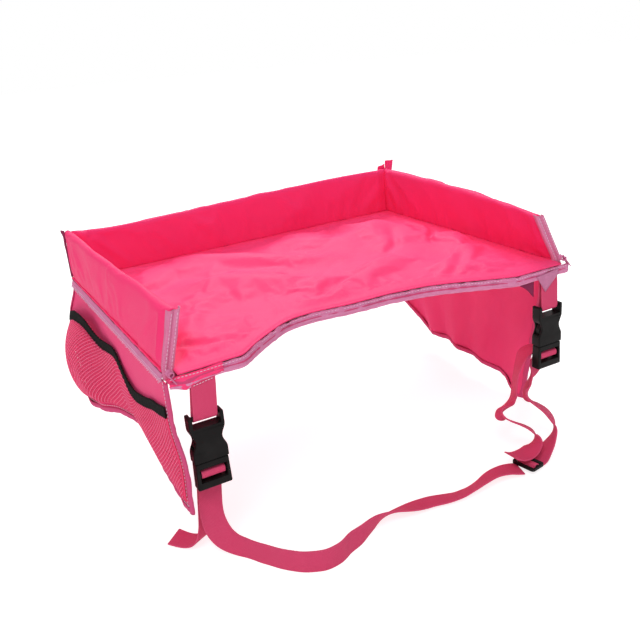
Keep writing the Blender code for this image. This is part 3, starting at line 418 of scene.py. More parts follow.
def rosy(shade, share):
    """The shade, moved towards a pale rose."""
    return paler(shade, share, (1.0, 0.45, 0.66))


def make_materials():
    woven = group_of("plain_weave", build_woven)
    webbing = group_of("ribbed_webbing", build_webbing)
    grain = group_of("moulded_grain", build_grain)
    shade = colours()
    pale_net = rosy(shade.net, 0.20)
    pale_rib = paler(shade.net_rib, 0.2)
    lit_thread = paler(shade.tape_light, 0.5)
    fin = paler(shade.hem, 0.5, shade.tape)
    cloths = {
        "floor_cloth": (cloth_values(shade.floor, shade.floor_light, 0.5), 0.50, 0.00003, 0.06),
        "wall_cloth": (cloth_values(shade.wall, rosy(shade.wall, 0.12), 0.5), 0.50, 0.00003, 0.06),
        "flap_cloth": (cloth_values(shade.flap, rosy(shade.flap, 0.16), 0.6), 0.60, 0.00004, 0.05),
        "net": (cloth_values(shade.net, pale_net, 0.9, 0.0018), 0.60, 0.00006, 0.06),
        "net_rib": (cloth_values(shade.net_rib, pale_rib, 0.6, 0.0010), 0.55, 0.00004, 0.08),
        "dark_tape": (cloth_values(shade.tape_dark, rosy(shade.tape_dark, 0.15), 0.5, 0.0006), 0.7, 0.00006, 0.06),
    }
    tapes = {
        "tape": (web_values(shade.tape, shade.tape_light, 0.012), 0.66, 0.00008, 0.08),
        "pale_tape": (web_values(rosy(shade.tape, 0.25), shade.tape_light, 0.012), 0.66, 0.00006, 0.08),
        "webbing": (web_values(shade.webbing, rosy(shade.webbing, 0.18), WEB_WIDTH), 0.62, 0.00010, 0.08),
        "elastic": (web_values(shade.black, paler(shade.black, 0.015), ELASTIC_HEIGHT), 0.75, 0.00014, 0.06),
        "fin_tape": (web_values(fin, shade.tape_light, 0.010), 0.66, 0.00008, 0.08),
        "hem_tape": (web_values(shade.hem, shade.tape, 0.006), 0.66, 0.00006, 0.08),
    }
    for group, rows in ((woven, cloths), (webbing, tapes)):
        for name, (values, roughness, bump, specular) in rows.items():
            make_material(name, group, values, "UV", roughness, bump, 0.0, specular)
    black = {"Colour": four(shade.black), "Light": four(paler(shade.black, 0.015))}
    make_material("moulding", grain, black, "Object", 0.4, 0.00003, 0.0, 0.10)
    board = {"Colour": four(shade.board), "Light": four(paler(shade.board, 0.3)), "Grain": 500.0}
    make_material("board", grain, board, "Object", 0.6, 0.00003)
    thread = cloth_values(shade.tape_light, lit_thread, 0.6, 0.0004)
    make_material("thread", woven, thread, "Object", 0.55, 0.00003, 0.1, 0.25)


# Modelling tools


def evenly(start, end, steps):
    return [start + (end - start) * step / steps for step in range(steps + 1)]


def ruffle(first, second, seed):
    """Smooth unevenness between -1 and 1."""
    return noise.noise(Vector((first, second, seed)))


def finished(bm, name, material):
    mesh = bpy.data.meshes.new(name)
    bm.to_mesh(mesh)
    bm.free()
    mesh.shade_smooth()
    mesh.materials.append(worked(material))
    obj = bpy.data.objects.new(name, mesh)
    bpy.context.scene.collection.objects.link(obj)
    return obj


def sheet(name, columns, rows, place, inside, material):
    """A sheet laid out by lengths along and across it, bent into place, its faces turned away from a point."""
    bm = bmesh.new()
    lengths = bm.loops.layers.uv.new("lengths")
    bmesh.ops.create_grid(bm, x_segments=len(columns) - 1, y_segments=len(rows) - 1, size=0.5)
    spots = {}
    for vert in bm.verts:
        column = columns[round((vert.co.x + 0.5) * (len(columns) - 1))]
        row = rows[round((vert.co.y + 0.5) * (len(rows) - 1))]
        spots[vert] = (column, row)
    for face in bm.faces:
        for loop in face.loops:
            loop[lengths].uv = spots[loop.vert]
    for vert, spot in spots.items():
        vert.co = place(*spot)
    bm.normal_update()
    outward = sum(face.normal.dot(face.calc_center_median() - Vector(inside)) * face.calc_area()
                  for face in bm.faces)
    if outward < 0:
        bmesh.ops.reverse_faces(bm, faces=bm.faces[:])
    return finished(bm, name, material)


def thicken(obj, thickness, levels=0, offset=-1.0):
    solidify = obj.modifiers.new("thickness", "SOLIDIFY")
    solidify.thickness = thickness
    solidify.offset = offset
    soften(obj, levels)
    return obj


def soften(obj, levels):
    if levels:
        smooth = obj.modifiers.new("softness", "SUBSURF")
        smooth.levels = smooth.render_levels = levels
    return obj


def settle(obj, body, slot, *nodes):
    """The piece rides on its body and stands for its solids."""
    if nodes:
        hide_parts(*nodes)
    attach(obj, body)
    return obj


def hinged(obj):
    """Takes the piece off its body and bakes its place into its mesh."""
    obj.parent = None
    del obj["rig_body"]
    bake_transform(obj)


def walk(points, pitch):
    """Places and headings at even distances along a line of points."""
    found = []
    left = pitch / 2
    for start, end in zip(points, points[1:]):
        span = (end - start).length
        while left <= span:
            found.append((start.lerp(end, left / span), (end - start).normalized()))
            left += pitch
        left -= span
    return found


def stitching(name, rows, body, slot, material="thread", pitch=None, radius=0.00028):
    """Rows of single stitches, each a small rounded thread lying along its seam."""
    pitch = pitch or sizes().stitch_pitch
    bm = bmesh.new()
    for points, up in rows:
        for place, heading in walk([Vector(point) for point in points], pitch):
            side = heading.cross(Vector(up)).normalized()
            top = side.cross(heading)
            turn = Matrix((heading, side, top)).transposed().to_4x4()
            size = Matrix.Diagonal((pitch * 0.40, radius * 1.3, radius, 1.0))
            matrix = Matrix.Translation(place) @ turn @ size
            bmesh.ops.create_uvsphere(bm, u_segments=6, v_segments=5, radius=1.0, matrix=matrix)
    return settle(finished(bm, name, material), body, slot)


# Stage


def clear_start():
    for obj in [o for o in bpy.data.objects if o.type in ("CAMERA", "LIGHT") or o.name == "Cube"]:
        bpy.data.objects.remove(obj, do_unlink=True)


def make_camera():
    ahead = Vector((math.sin(CAMERA_YAW) * math.cos(CAMERA_PITCH),
                    math.cos(CAMERA_YAW) * math.cos(CAMERA_PITCH), -math.sin(CAMERA_PITCH)))
    right = ahead.cross(Vector((0, 0, 1))).normalized()
    up = right.cross(ahead)
    tilted = right * math.cos(CAMERA_ROLL) + up * math.sin(CAMERA_ROLL)
    risen = up * math.cos(CAMERA_ROLL) - right * math.sin(CAMERA_ROLL)
    data = bpy.data.cameras.new("camera")
    data.lens = CAMERA_LENS
    data.sensor_width = 36.0
    camera = bpy.data.objects.new("camera", data)
    turn = Matrix((tilted, risen, -ahead)).transposed().to_4x4()
    camera.matrix_world = Matrix.Translation(CAMERA_PLACE) @ turn
    bpy.context.scene.collection.objects.link(camera)
    bpy.context.scene.camera = camera


def seen_directly(tree):
    rays = add_node(tree, "ShaderNodeLightPath").outputs
    seen = number(tree, "MAXIMUM", rays["Is Camera Ray"], rays["Is Glossy Ray"])
    return number(tree, "MAXIMUM", seen, rays["Is Transmission Ray"])


def make_world():
    world = bpy.data.worlds.new("studio")
    world.use_nodes = True
    bpy.context.scene.world = world
    tree = world.node_tree
    hidden = 1.0 - AMBIENT
    strength = number(tree, "ADD", number(tree, "MULTIPLY", seen_directly(tree), hidden), AMBIENT)
    background = tree.nodes["Background"]
    background.inputs["Color"].default_value = WHITE
    tree.links.new(strength, background.inputs["Strength"])


def make_stage_floor():
    """A pale floor that keeps a faint shadow, and that fades into the backdrop."""
    bm = bmesh.new()
    bmesh.ops.create_circle(bm, cap_ends=True, segments=64, radius=6.0,
                            matrix=Matrix.Translation((0, 0, STAGE_HEIGHT)))
    material = bpy.data.materials.new("worked_stage_floor")
    material.use_nodes = True
    tree = material.node_tree
    shader = tree.nodes["Principled BSDF"]
    shader.inputs["Roughness"].default_value = 0.9
    shader.inputs["Specular IOR Level"].default_value = 0.0
    shader.inputs["Emission Color"].default_value = WHITE
    seen = seen_directly(tree)
    glow = number(tree, "ADD", number(tree, "MULTIPLY", seen, STAGE_GLOW - STAGE_BOUNCE), STAGE_BOUNCE)
    pale = blend_colours(tree, seen, (0.8, 0.8, 0.8, 1.0), (0.5, 0.5, 0.5, 1.0))
    tree.links.new(pale, shader.inputs["Base Color"])
    tree.links.new(glow, shader.inputs["Emission Strength"])
    below = add_node(tree, "ShaderNodeNewGeometry").outputs["Backfacing"]
    clear = add_node(tree, "ShaderNodeBsdfTransparent").outputs[0]
    mixed = add_node(tree, "ShaderNodeMixShader", {0: below, 1: shader.outputs[0], 2: clear})
    tree.links.new(mixed.outputs[0], tree.nodes["Material Output"].inputs["Surface"])
    finished(bm, "stage_floor", "stage_floor")


def add_lamp(name, place, size, power):
    data = bpy.data.lights.new(name, "AREA")
    data.shape = "DISK"
    data.size = size
    data.energy = power
    lamp = bpy.data.objects.new(name, data)
    aim = Vector((0, -0.02, 0)) - Vector(place)
    lamp.matrix_world = Matrix.Translation(place) @ aim.to_track_quat("-Z", "Y").to_matrix().to_4x4()
    bpy.context.scene.collection.objects.link(lamp)


def make_stage():
    clear_start()
    make_camera()
    make_world()
    make_stage_floor()
    add_lamp("key_lamp", (-0.9, -1.2, 1.7), 0.9, 18.0)
    add_lamp("top_lamp", (0.5, 1.2, 1.1), 0.7, 18.0)
    bpy.context.scene.view_settings.view_transform = "Standard"


# Strap


def smooth_between(points, position):
    """A point on the smooth curve through the route, at a position counted in route points."""
    index = min(int(position), len(points) - 2)
    share = position - index
    before = points[max(index - 1, 0)]
    start, end = points[index], points[index + 1]
    after = points[min(index + 2, len(points) - 1)]
    bend = (end - before) * share - (2 * before - 5 * start + 4 * end - after) * -share**2
    rise = (3 * start - before - 3 * end + after) * share**3
    return start + (bend + rise) / 2


def share_at(shares, way):
    """A share read from its table, at a share of the way along the table."""
    return smooth_between(shares, way * (len(shares) - 1))


def marks_along(points):
    """The length along a line at each of its points."""
    marks = [0.0]
    for start, end in zip(points, points[1:]):
        marks.append(marks[-1] + (end - start).length)
    return marks


class Route:
    """A smooth line through the points of a stretch, measured along its length."""

    STEPS = 12

    def __init__(self, points, spread):
        self.points = [Vector(point) for point in points]
        self.widths = [Vector(direction).normalized() for direction in spread]
        steps = self.STEPS * (len(points) - 1)
        self.line = [smooth_between(self.points, step / self.STEPS) for step in range(steps + 1)]
        self.marks = marks_along(self.line)
        self.length = self.marks[-1]

    def position(self, along):
        """The position in route points of a length along the line."""
        for index in range(len(self.marks) - 1):
            if along <= self.marks[index + 1]:
                share = (along - self.marks[index]) / (self.marks[index + 1] - self.marks[index])
                return (index + share) / self.STEPS
        return len(self.points) - 1

    def frame(self, along):
        position = self.position(along)
        last = len(self.points) - 1
        ahead = smooth_between(self.points, min(position + 0.25, last))
        behind = smooth_between(self.points, max(position - 0.25, 0))
        heading = (ahead - behind).normalized()
        width = smooth_between(self.widths, position)
        width = (width - heading * width.dot(heading)).normalized()
        return smooth_between(self.points, position), heading, width, heading.cross(width)


def level_route(points):
    """A route whose webbing lies square to the tray."""
    return Route(points, [(1, 0, 0)] * len(points))


def ribbon(name, route, body, slot="webbing", nodes=()):
    """Webbing along its route, cupped a little across and uneven along its edges."""
    def place(along, across):
        centre, _, width, normal = route.frame(along)
        cup = 0.0006 * ruffle(along * 55, 0, 3) * (2 * across / WEB_WIDTH) ** 2
        edge = 1 + 0.012 * ruffle(along * 240, across * 80, 7)
        return centre + width * across * edge + normal * cup

    columns = evenly(0, route.length, round(route.length / 0.0022))
    half = WEB_WIDTH / 2
    rows = [-half, -half * 0.94, -half * 0.6, -half * 0.2, half * 0.2, half * 0.6, half * 0.94, half]
    obj = sheet(name, columns, rows, place, (0, 0, 0), "webbing")
    thicken(obj, WEB_THICKNESS, 1, 0.0)
    return settle(obj, body, slot, *nodes)


def make_strap():
    """The free stretches of the strap. The tail is too short for a cord of its own and goes with the run."""
    routes = {
        "strap_tail": (Route(TAIL_ROUTE, TAIL_SPREAD), "left_plug"),
        "strap_run": (Route(RUN_ROUTE, RUN_SPREAD), "left_plug"),
        "strap_loop_out": (Route(OUT_ROUTE, OUT_SPREAD), "right_plug"),
        "strap_loop_back": (Route(BACK_ROUTE, BACK_SPREAD), "right_plug"),
    }
    made = {}
    for name, (route, body) in routes.items():
        made[name] = ribbon(name + "_webbing", route, body, nodes=(name,))
    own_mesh(made["strap_tail"])
    for name, (route, _) in routes.items():
        if route.length > SHORTEST_CORD:
            tuple(route.points[0])
            [tuple(point) for point in route.line]


class Line:
    """A line through points, measured along its length."""

    def __init__(self, points):
        self.points = [Vector(point) for point in points]
        self.marks = marks_along(self.points)
        self.length = self.marks[-1]

    def at(self, along):
        """The place and heading at a length along the line."""
        index = 0
        while index < len(self.points) - 2 and along > self.marks[index + 1]:
            index += 1
        start, end = self.points[index], self.points[index + 1]
        share = (along - self.marks[index]) / (self.marks[index + 1] - self.marks[index])
        before = self.points[max(index - 1, 0)]
        after = self.points[min(index + 2, len(self.points) - 1)]
        heading = (end - before).normalized().lerp((after - start).normalized(), min(max(share, 0), 1))
        return start.lerp(end, share), heading.normalized()


LADDER_TURN = [
    (0.0056, -0.0460), (0.0030, -0.0460), (0.0004, -0.0460), (-0.0020, -0.0462), (-0.0032, -0.0472),
    (-0.0035, -0.0492), (-0.0032, -0.0512), (-0.0020, -0.0522), (0.0004, -0.0524), (0.0030, -0.0524),
    (0.0056, -0.0524),
]
SLIDER_TURN = [
    (-0.0025, -0.0022), (-0.0025, -0.0006), (-0.0024, 0.0012), (-0.0016, 0.0022), (0.0, 0.0024),
    (0.0016, 0.0022), (0.0024, 0.0012), (0.0025, -0.0006), (0.0025, -0.0022),
]
SLIDER_PLACE = (0.1105, -0.2020, -0.1590)
SLIDER_HEADING = math.radians(10)


def make_turns():
    """The turns of webbing over the ladder bars and over the bar of the slider."""
    for name, side in SIDES.items():
        points = [(side * STRAP_X, TAB_Y + y, BAR_Z + z) for y, z in LADDER_TURN]
        ribbon(name + "_plug_webbing_turn", level_route(points), name + "_plug", nodes=(name + "_plug_webbing",))
    turn = Matrix.Translation(SLIDER_PLACE) @ Matrix.Rotation(SLIDER_HEADING, 4, "Z")
    points = [turn @ Vector((x, 0, z)) for x, z in SLIDER_TURN]
    across = turn.to_3x3() @ Vector((0, 1, 0))
    route = Route(points, [across] * len(points))
    ribbon("slider_webbing_turn", route, "slider", nodes=("slider_webbing",))


# Settling cloth


def smooth_step(value):
    value = min(1.0, max(0.0, value))
    return value * value * (3 - 2 * value)


def let_settle(obj, pins, growth, pressure, reach, floor=None, frames=18):
    """Lets a sheet that is cut a little too large for its seams settle into loose folds."""
    pinned = obj.vertex_groups.new(name="pinned")
    for vert, weight in zip(obj.data.vertices, pins):
        pinned.add([vert.index], weight, "REPLACE")
    cloth = obj.modifiers.new("settling", "CLOTH")
    cloth.settings.quality = 5
    cloth.settings.mass = 0.15
    cloth.settings.vertex_group_mass = "pinned"
    cloth.settings.shrink_min = -growth
    cloth.settings.tension_stiffness = 12.0
    cloth.settings.compression_stiffness = 12.0
    cloth.settings.shear_stiffness = 4.0
    cloth.settings.bending_stiffness = 0.6
    cloth.settings.use_pressure = pressure > 0
    cloth.settings.uniform_pressure_force = pressure
    cloth.settings.effector_weights.gravity = 0.0
    cloth.collision_settings.use_collision = False
    cloth.point_cache.frame_start = 1
    cloth.point_cache.frame_end = frames
    for frame_number in range(1, frames + 1):
        bpy.context.scene.frame_set(frame_number)
    settled = obj.evaluated_get(bpy.context.evaluated_depsgraph_get()).data
    moves = [after.co - before.co for after, before in zip(settled.vertices, obj.data.vertices)]
    obj.modifiers.remove(cloth)
    obj.vertex_groups.remove(pinned)
    bpy.context.scene.frame_set(1)
    outward = [vert.normal.copy() for vert in obj.data.vertices]
    for vert, move, normal in zip(obj.data.vertices, moves, outward):
        inward = move.dot(normal)
        if inward < 0:
            move = move - normal * inward * 0.9
        if move.length > reach:
            move = move * (reach / move.length)
        vert.co += move
        if floor is not None and vert.co.z < floor:
            vert.co.z = floor


# Tray floor and its underside


def front_y(x):
    """The front edge: straight at both ends, with the cut-out that takes the child's body."""
    way = (x + CUTOUT_HALF_WIDTH) / (2 * CUTOUT_HALF_WIDTH)
    if way <= 0:
        return -FRONT_REACH + CUTOUT_DEPTH * CUTOUT_SHARES[0] * smooth_step(1 + way * 6)
    return -FRONT_REACH + CUTOUT_DEPTH * max(0.0, share_at(CUTOUT_SHARES, min(1.0, way)))


def cutout_area(steps=200):
    """The cloth that the front cut-out takes off a straight front edge."""
    step = 2 * HALF_WIDTH / steps
    return sum((front_y(x) + FRONT_REACH) * step for x in evenly(-HALF_WIDTH, HALF_WIDTH, steps))


# Loose folds of the floor cloth: both ends in plan, half their width, and their height
FLOOR_FOLDS = [
    (-0.125, 0.122, 0.060, -0.010, 0.015, 0.0044), (-0.150, 0.036, 0.020, -0.066, 0.018, 0.0050),
    (0.040, 0.040, 0.170, 0.104, 0.020, 0.0048), (0.180, 0.010, 0.146, -0.086, 0.016, 0.0048),
    (-0.075, 0.110, -0.026, 0.138, 0.006, -0.0022), (-0.070, -0.084, 0.010, -0.098, 0.010, 0.0030),
    (0.176, 0.044, 0.146, -0.030, 0.005, -0.0028), (0.083, -0.112, 0.150, -0.074, 0.006, -0.0026),
    (0.078, -0.016, 0.150, 0.054, 0.007, -0.0026), (-0.048, -0.076, 0.056, -0.054, 0.009, -0.0024),
    (-0.160, -0.082, -0.100, -0.074, 0.012, 0.0018), (-0.165, -0.120, -0.135, -0.040, 0.012, 0.0016),
    (0.010, -0.090, 0.070, -0.020, 0.014, 0.0032), (-0.020, 0.060, 0.070, 0.125, 0.013, 0.0030),
]
FLOOR_ROLL = 0.0042


def fold_height(x, y):
    """Height of the loose folds: soft ridges and creases, each fading towards its ends."""
    height = 0.0
    for x0, y0, x1, y1, width, rise in FLOOR_FOLDS:
        run = Vector((x1 - x0, y1 - y0))
        start = Vector((x - x0, y - y0))
        share = start.dot(run) / run.length_squared
        bend = 0.006 * math.sin(share * 5 + x0 * 40)
        aside = (start.x * run.y - start.y * run.x) / run.length + bend
        fade = smooth_step(share / 0.3) * smooth_step((1 - share) / 0.3)
        height += rise * fade * math.exp(-(aside / width) ** 2)
    return height + 0.0011 * ruffle(x * 22 + y * 9, y * 30 - x * 8, 11) + 0.0004 * ruffle(x * 70, y * 85, 5)


def floor_rest(x, share):
    """The floor cloth before it settles: it tucks in at the walls and rolls over the front edge."""
    half = HALF_WIDTH - WALL_THICKNESS - GAP
    back = BACK_REACH - WALL_THICKNESS - GAP
    front = front_y(x) - 0.0003
    y = front + (back - front) * share
    sides = smooth_step((half - abs(x)) / 0.020) * smooth_step((back - y) / 0.020)
    ahead = y - front
    puff = sides * smooth_step(ahead / 0.018)
    fall = max(0.0, FLOOR_ROLL - ahead)
    roll = FLOOR_ROLL - math.sqrt(FLOOR_ROLL**2 - fall**2)
    gathers = 0.0007 * (1 - sides) * ruffle(x * 60, y * 60, 3)
    rise = sizes().fold_depth * 0.30 * puff + fold_height(x, y) * puff * sizes().fold_depth / 0.003
    return Vector((x, y, FLOOR_TOP - roll - 0.0006 * (1 - sides) + gathers + rise))


def uneven(start, end, steps, crowd):
    """Steps that crowd towards the start."""
    return [start + (end - start) * (step / steps) ** crowd for step in range(steps + 1)]


def make_floor():
    """The loose floor cloth, the board below it and the cloth under the tray."""
    half = HALF_WIDTH - WALL_THICKNESS - GAP
    columns = evenly(-half, half, 150)
    rows = uneven(0, 1, 104, 1.35)
    cloth = sheet("floor_cloth", columns, rows, floor_rest, (0, 0, -1), "floor_cloth")
    metres_from_above(cloth)
    back = BACK_REACH - WALL_THICKNESS
    pins = []
    for vert in cloth.data.vertices:
        edge = min(half - abs(vert.co.x), back - vert.co.y, vert.co.y - front_y(vert.co.x))
        pins.append(1.0 - smooth_step((edge - 0.004) / 0.014))
    let_settle(cloth, pins, 0.030, 0.12, 0.0050, FLOOR_TOP - 0.0008)
    thicken(cloth, 0.0012)
    0.390 * 0.305 - cutout_area()
    settle(cloth, "tray", "floor_cloth", "floor_cover")

    def board(x, share):
        front = front_y(x) + 0.0056
        return Vector((x, front + (back - 0.0040 - front) * share, 0.0042))

    columns = evenly(-half + 0.0040, half - 0.0040, 60)
    panel = sheet("tray_board_panel", columns, evenly(0, 1, 30), board, (0, 0, -1), "board")
    settle(thicken(panel, 0.0028), "tray", "board", "tray_board")

    def under(x, share):
        front = front_y(x) + BINDING_THICKNESS
        y = front + (BACK_REACH - front) * share
        return Vector((x, y, 0.0003 * ruffle(x * 30, y * 30, 2)))

    columns = evenly(-HALF_WIDTH, HALF_WIDTH, 60)
    cloth = sheet("base_cloth", columns, evenly(0, 1, 40), under, (0, 0, 1), "flap_cloth")
    metres_from_above(cloth)
    thicken(cloth, 0.0009)
    0.402 * 0.306 - cutout_area()
    settle(cloth, "tray", "flap_cloth", "base_cover")


def metres_from_above(obj):
    """Lays the UV map out in metres, from above."""
    lengths = obj.data.uv_layers["lengths"].data
    for loop in obj.data.loops:
        point = obj.data.vertices[loop.vertex_index].co
        lengths[loop.index].uv = (point.x, point.y)


# Walls


def raised(height, tops, way):
    """A height, stretched to where the wall's top stands at this share of its way."""
    return height + share_at(tops, min(1.0, max(0.0, way))) * (height / WALL_HEIGHT) ** 2


def side_wall_place(name):
    """Lengths along the wall, up from its foot and in from its outer face, bent to the lean."""
    side = SIDES[name]
    lean, setback = WALL_LEANS[name]

    def place(along, height, depth):
        forward = along / WALL_LENGTH
        height = raised(height, WALL_TOPS[name], forward)
        rise = max(0.0, height - LEAN_START) / (WALL_HEIGHT - LEAN_START)
        past_corner = max(0.0, along - 2 * WALL_THICKNESS)
        ripple = (1 - math.cos(math.tau * past_corner / RIPPLE_LENGTH)) * WALL_RIPPLE * rise
        inward = depth + lean * forward**2 * rise + ripple
        y = BACK_REACH - along + setback * rise * forward
        return Vector((side * (HALF_WIDTH - inward), y, WALL_FOOT + height))
    return place


def back_wall_place(along, height, depth):
    height = raised(height, WALL_TOPS["back"], (along + HALF_WIDTH) / (2 * HALF_WIDTH))
    return Vector((along, BACK_REACH - depth, WALL_FOOT + height))


def wall_section():
    """Up the outer face, over the rounded top and down the inner face to the floor, as (depth, height)."""
    radius = WALL_THICKNESS / 2
    top = WALL_HEIGHT - radius
    points = [(0.0, height) for height in evenly(0.0052, top, 12)]
    for step in range(1, 8):
        angle = math.pi * step / 8
        points.append((radius - radius * math.cos(angle), top + radius * math.sin(angle)))
    return points + [(WALL_THICKNESS, height) for height in evenly(top, 0.0042, 12)]


def make_wall(name, place, start, end, seed):
    section = Line([(depth, 0, height) for depth, height in wall_section()])
    swell = sizes().wall_padding

    def surface(along, around):
        spot, _ = section.at(around)
        depth, height = spot.x, spot.z
        middle = math.sin(math.pi * min(1.0, height / WALL_HEIGHT)) ** 0.7
        ends = max(0.0, min(1.0, (along - start) / 0.012, (end - along) / 0.012))
        out = (depth - WALL_THICKNESS / 2) / (WALL_THICKNESS / 2)
        puff = swell * middle * ends * (0.8 + 0.4 * ruffle(along * 12, height * 10, seed))
        foot = math.exp(-(height - 0.004) / 0.006)
        gathers = 0.0012 * foot * (ruffle(along * 90, 0, seed + 3) - 0.3) * ends
        creases = 0.0006 * ruffle(along * 30 + height * 26, height * 30 - along * 9, seed + 5) * ends
        return place(along, height, depth + out * (puff + gathers + creases))

    columns = evenly(start, end, round((end - start) / 0.0030))
    rows = evenly(0, section.length, 44)
    inside = place((start + end) / 2, WALL_HEIGHT / 2, WALL_THICKNESS / 2)
    cloth = sheet(name + "_cloth", columns, rows, surface, inside, "wall_cloth")
    pins = []
    order = cloth.data.uv_layers["lengths"].data
    spots = {loop.vertex_index: tuple(order[loop.index].uv) for loop in cloth.data.loops}
    for vert in cloth.data.vertices:
        along, around = spots[vert.index]
        edge = min(around, section.length - around, (along - start) * 2, (end - along) * 2)
        pins.append(1.0 - smooth_step(edge / 0.007))
    let_settle(cloth, pins, 0.010, 0.10, 0.0026)
    thicken(cloth, 0.0006)
    settle(cloth, "tray", "wall_cloth", name + "_sleeve")

    def board(along, height):
        return place(along, height, WALL_THICKNESS / 2 + 0.0010)

    columns = evenly(start + 0.0018, end - 0.0018, 80)
    panel = sheet(name + "_board_panel", columns, evenly(0.0002, WALL_HEIGHT - 0.0022, 16), board, inside, "board")
    settle(thicken(panel, 0.0020, offset=0.0), "tray", "board", name + "_board")
    if start:
        return

    def closing(across, share):
        """The end of the sleeve at the back corner, up to its rounded top."""
        radius = WALL_THICKNESS / 2
        away = min(1.0, abs(across))
        top = WALL_HEIGHT - radius + radius * math.sqrt(max(0.0, 1 - away * away))
        crease = 0.0003 * ruffle(share * 9, across, seed + 7)
        return place(-0.0004 * (1 - away * away) + crease - 0.0001, 0.0046 + (top - 0.0046) * share,
                     radius + radius * across)

    end_cloth = sheet(name + "_back_end_cloth", evenly(-1, 1, 12), evenly(0, 1, 30), closing, inside, "wall_cloth")
    settle(thicken(end_cloth, 0.0006), "tray", "wall_cloth")


def make_walls():
    reach = HALF_WIDTH - WALL_THICKNESS
    make_wall("back_wall", back_wall_place, -reach, reach, 21)
    for name, side in SIDES.items():
        make_wall(name + "_wall", side_wall_place(name), 0, WALL_LENGTH, 31 + side)


# Tapes


def tape(name, line, section, up, inside, seed, material="tape", pucker=None, step=0.0020, sag=None):
    """A sewn tape along a line. Its section is given as lengths to the side and up, and it puckers along."""
    across = Line([(aside, 0, rise) for aside, rise in section])
    pucker = sizes().tape_pucker if pucker is None else pucker
    up = Vector(up)

    def place(along, around):
        spot, heading = line.at(along)
        side = heading.cross(up).normalized()
        top = side.cross(heading)
        offset, turn = across.at(around)
        normal = Vector((turn.z, 0, -turn.x))
        swell = pucker * (ruffle(along * 150, around * 90, seed) + 0.6 * ruffle(along * 48, 0, seed + 1))
        drift = pucker * 0.8 * ruffle(along * 36, 0, seed + 2)
        if sag:
            drift -= sag(spot.x) * smooth_step(around / across.length)
        offset = offset - normal * swell
        return spot + side * offset.x + top * (offset.z + drift)

    columns = evenly(0, line.length, max(4, round(line.length / step)))
    obj = sheet(name, columns, evenly(0, across.length, 12), place, inside, material)
    return thicken(obj, 0.0006)


def front_edge(steps=220, rise=0.0):
    return [(x, front_y(x), rise) for x in evenly(-HALF_WIDTH, HALF_WIDTH, steps)]


def hang(x):
    """How far the front tape hangs below the tray at the left corner and under the tabs."""
    corner = 0.0052 * math.exp(-((x + 0.187) / 0.008) ** 2)
    middle = 0.0016 * math.exp(-((x + 0.125) / 0.020) ** 2) + 0.0010 * math.exp(-((x - 0.06) / 0.05) ** 2)
    return corner + middle


def side_line(side, rise=0.0):
    ends = [Vector((side * HALF_WIDTH, BACK_REACH, rise)), Vector((side * HALF_WIDTH, BACK_REACH - WALL_LENGTH, rise))]
    if side > 0:
        ends.reverse()
    return Line([ends[0].lerp(ends[1], step / 60) for step in range(61)])


STRIP_SECTION = [
    (0.0004, 0.0064), (0.0012, 0.0062), (0.0016, 0.0050), (0.0022, 0.0036), (0.0028, 0.0018), (0.0032, 0.0002),
    (0.0028, -0.0012), (0.0014, -0.0014),
]
LIP_SECTION = [(0.0002, 0.0082), (0.0016, 0.0086), (0.0022, 0.0076), (0.0016, 0.0066), (0.0004, 0.0064)]
FRONT_SECTION = [
    (-0.0006, 0.0050), (0.0004, 0.0054), (0.0012, 0.0046), (0.0013, 0.0026), (0.0008, 0.0014), (0.0014, 0.0004),
    (0.0016, -0.0012), (0.0010, -0.0024), (0.0, -0.0026), (-0.0010, -0.0018),
]


FRONT_LIP_SECTION = [(0.0009, -0.0016), (0.0016, -0.0024), (0.0010, -0.0032), (0.0002, -0.0028)]
# A thin strip that fills the recess in the front tape; its rose colour paints the shadow line there.
FRONT_SHADE_LINE_SECTION = [(0.0010, 0.0018), (0.0015, 0.0016), (0.0015, 0.0011), (0.0008, 0.0009)]
# The first side tape is a thin strip of dark tape under the lip: painted shade.
SIDE_TAPES = (
    ("groove", [(0.0010, 0.0068), (0.0019, 0.0066), (0.0019, 0.0060), (0.0012, 0.0058)], 65, "dark_tape", 0.0003),
    ("edge", [(0.0024, 0.0001), (0.0034, -0.0002), (0.0034, -0.0011), (0.0024, -0.0014)], 68, "pale_tape", 0.0006),
    ("lip", LIP_SECTION, 59, "wall_cloth", 0.0005),
)


def edging(name, line, section, inside, seed, material="tape", pucker=None, sag=None, nodes=()):
    """A tape sewn along an edge of the tray."""
    piece = tape(name, line, section, (0, 0, 1), inside, seed, material, pucker, sag=sag)
    settle(piece, "tray", "binding", *nodes)


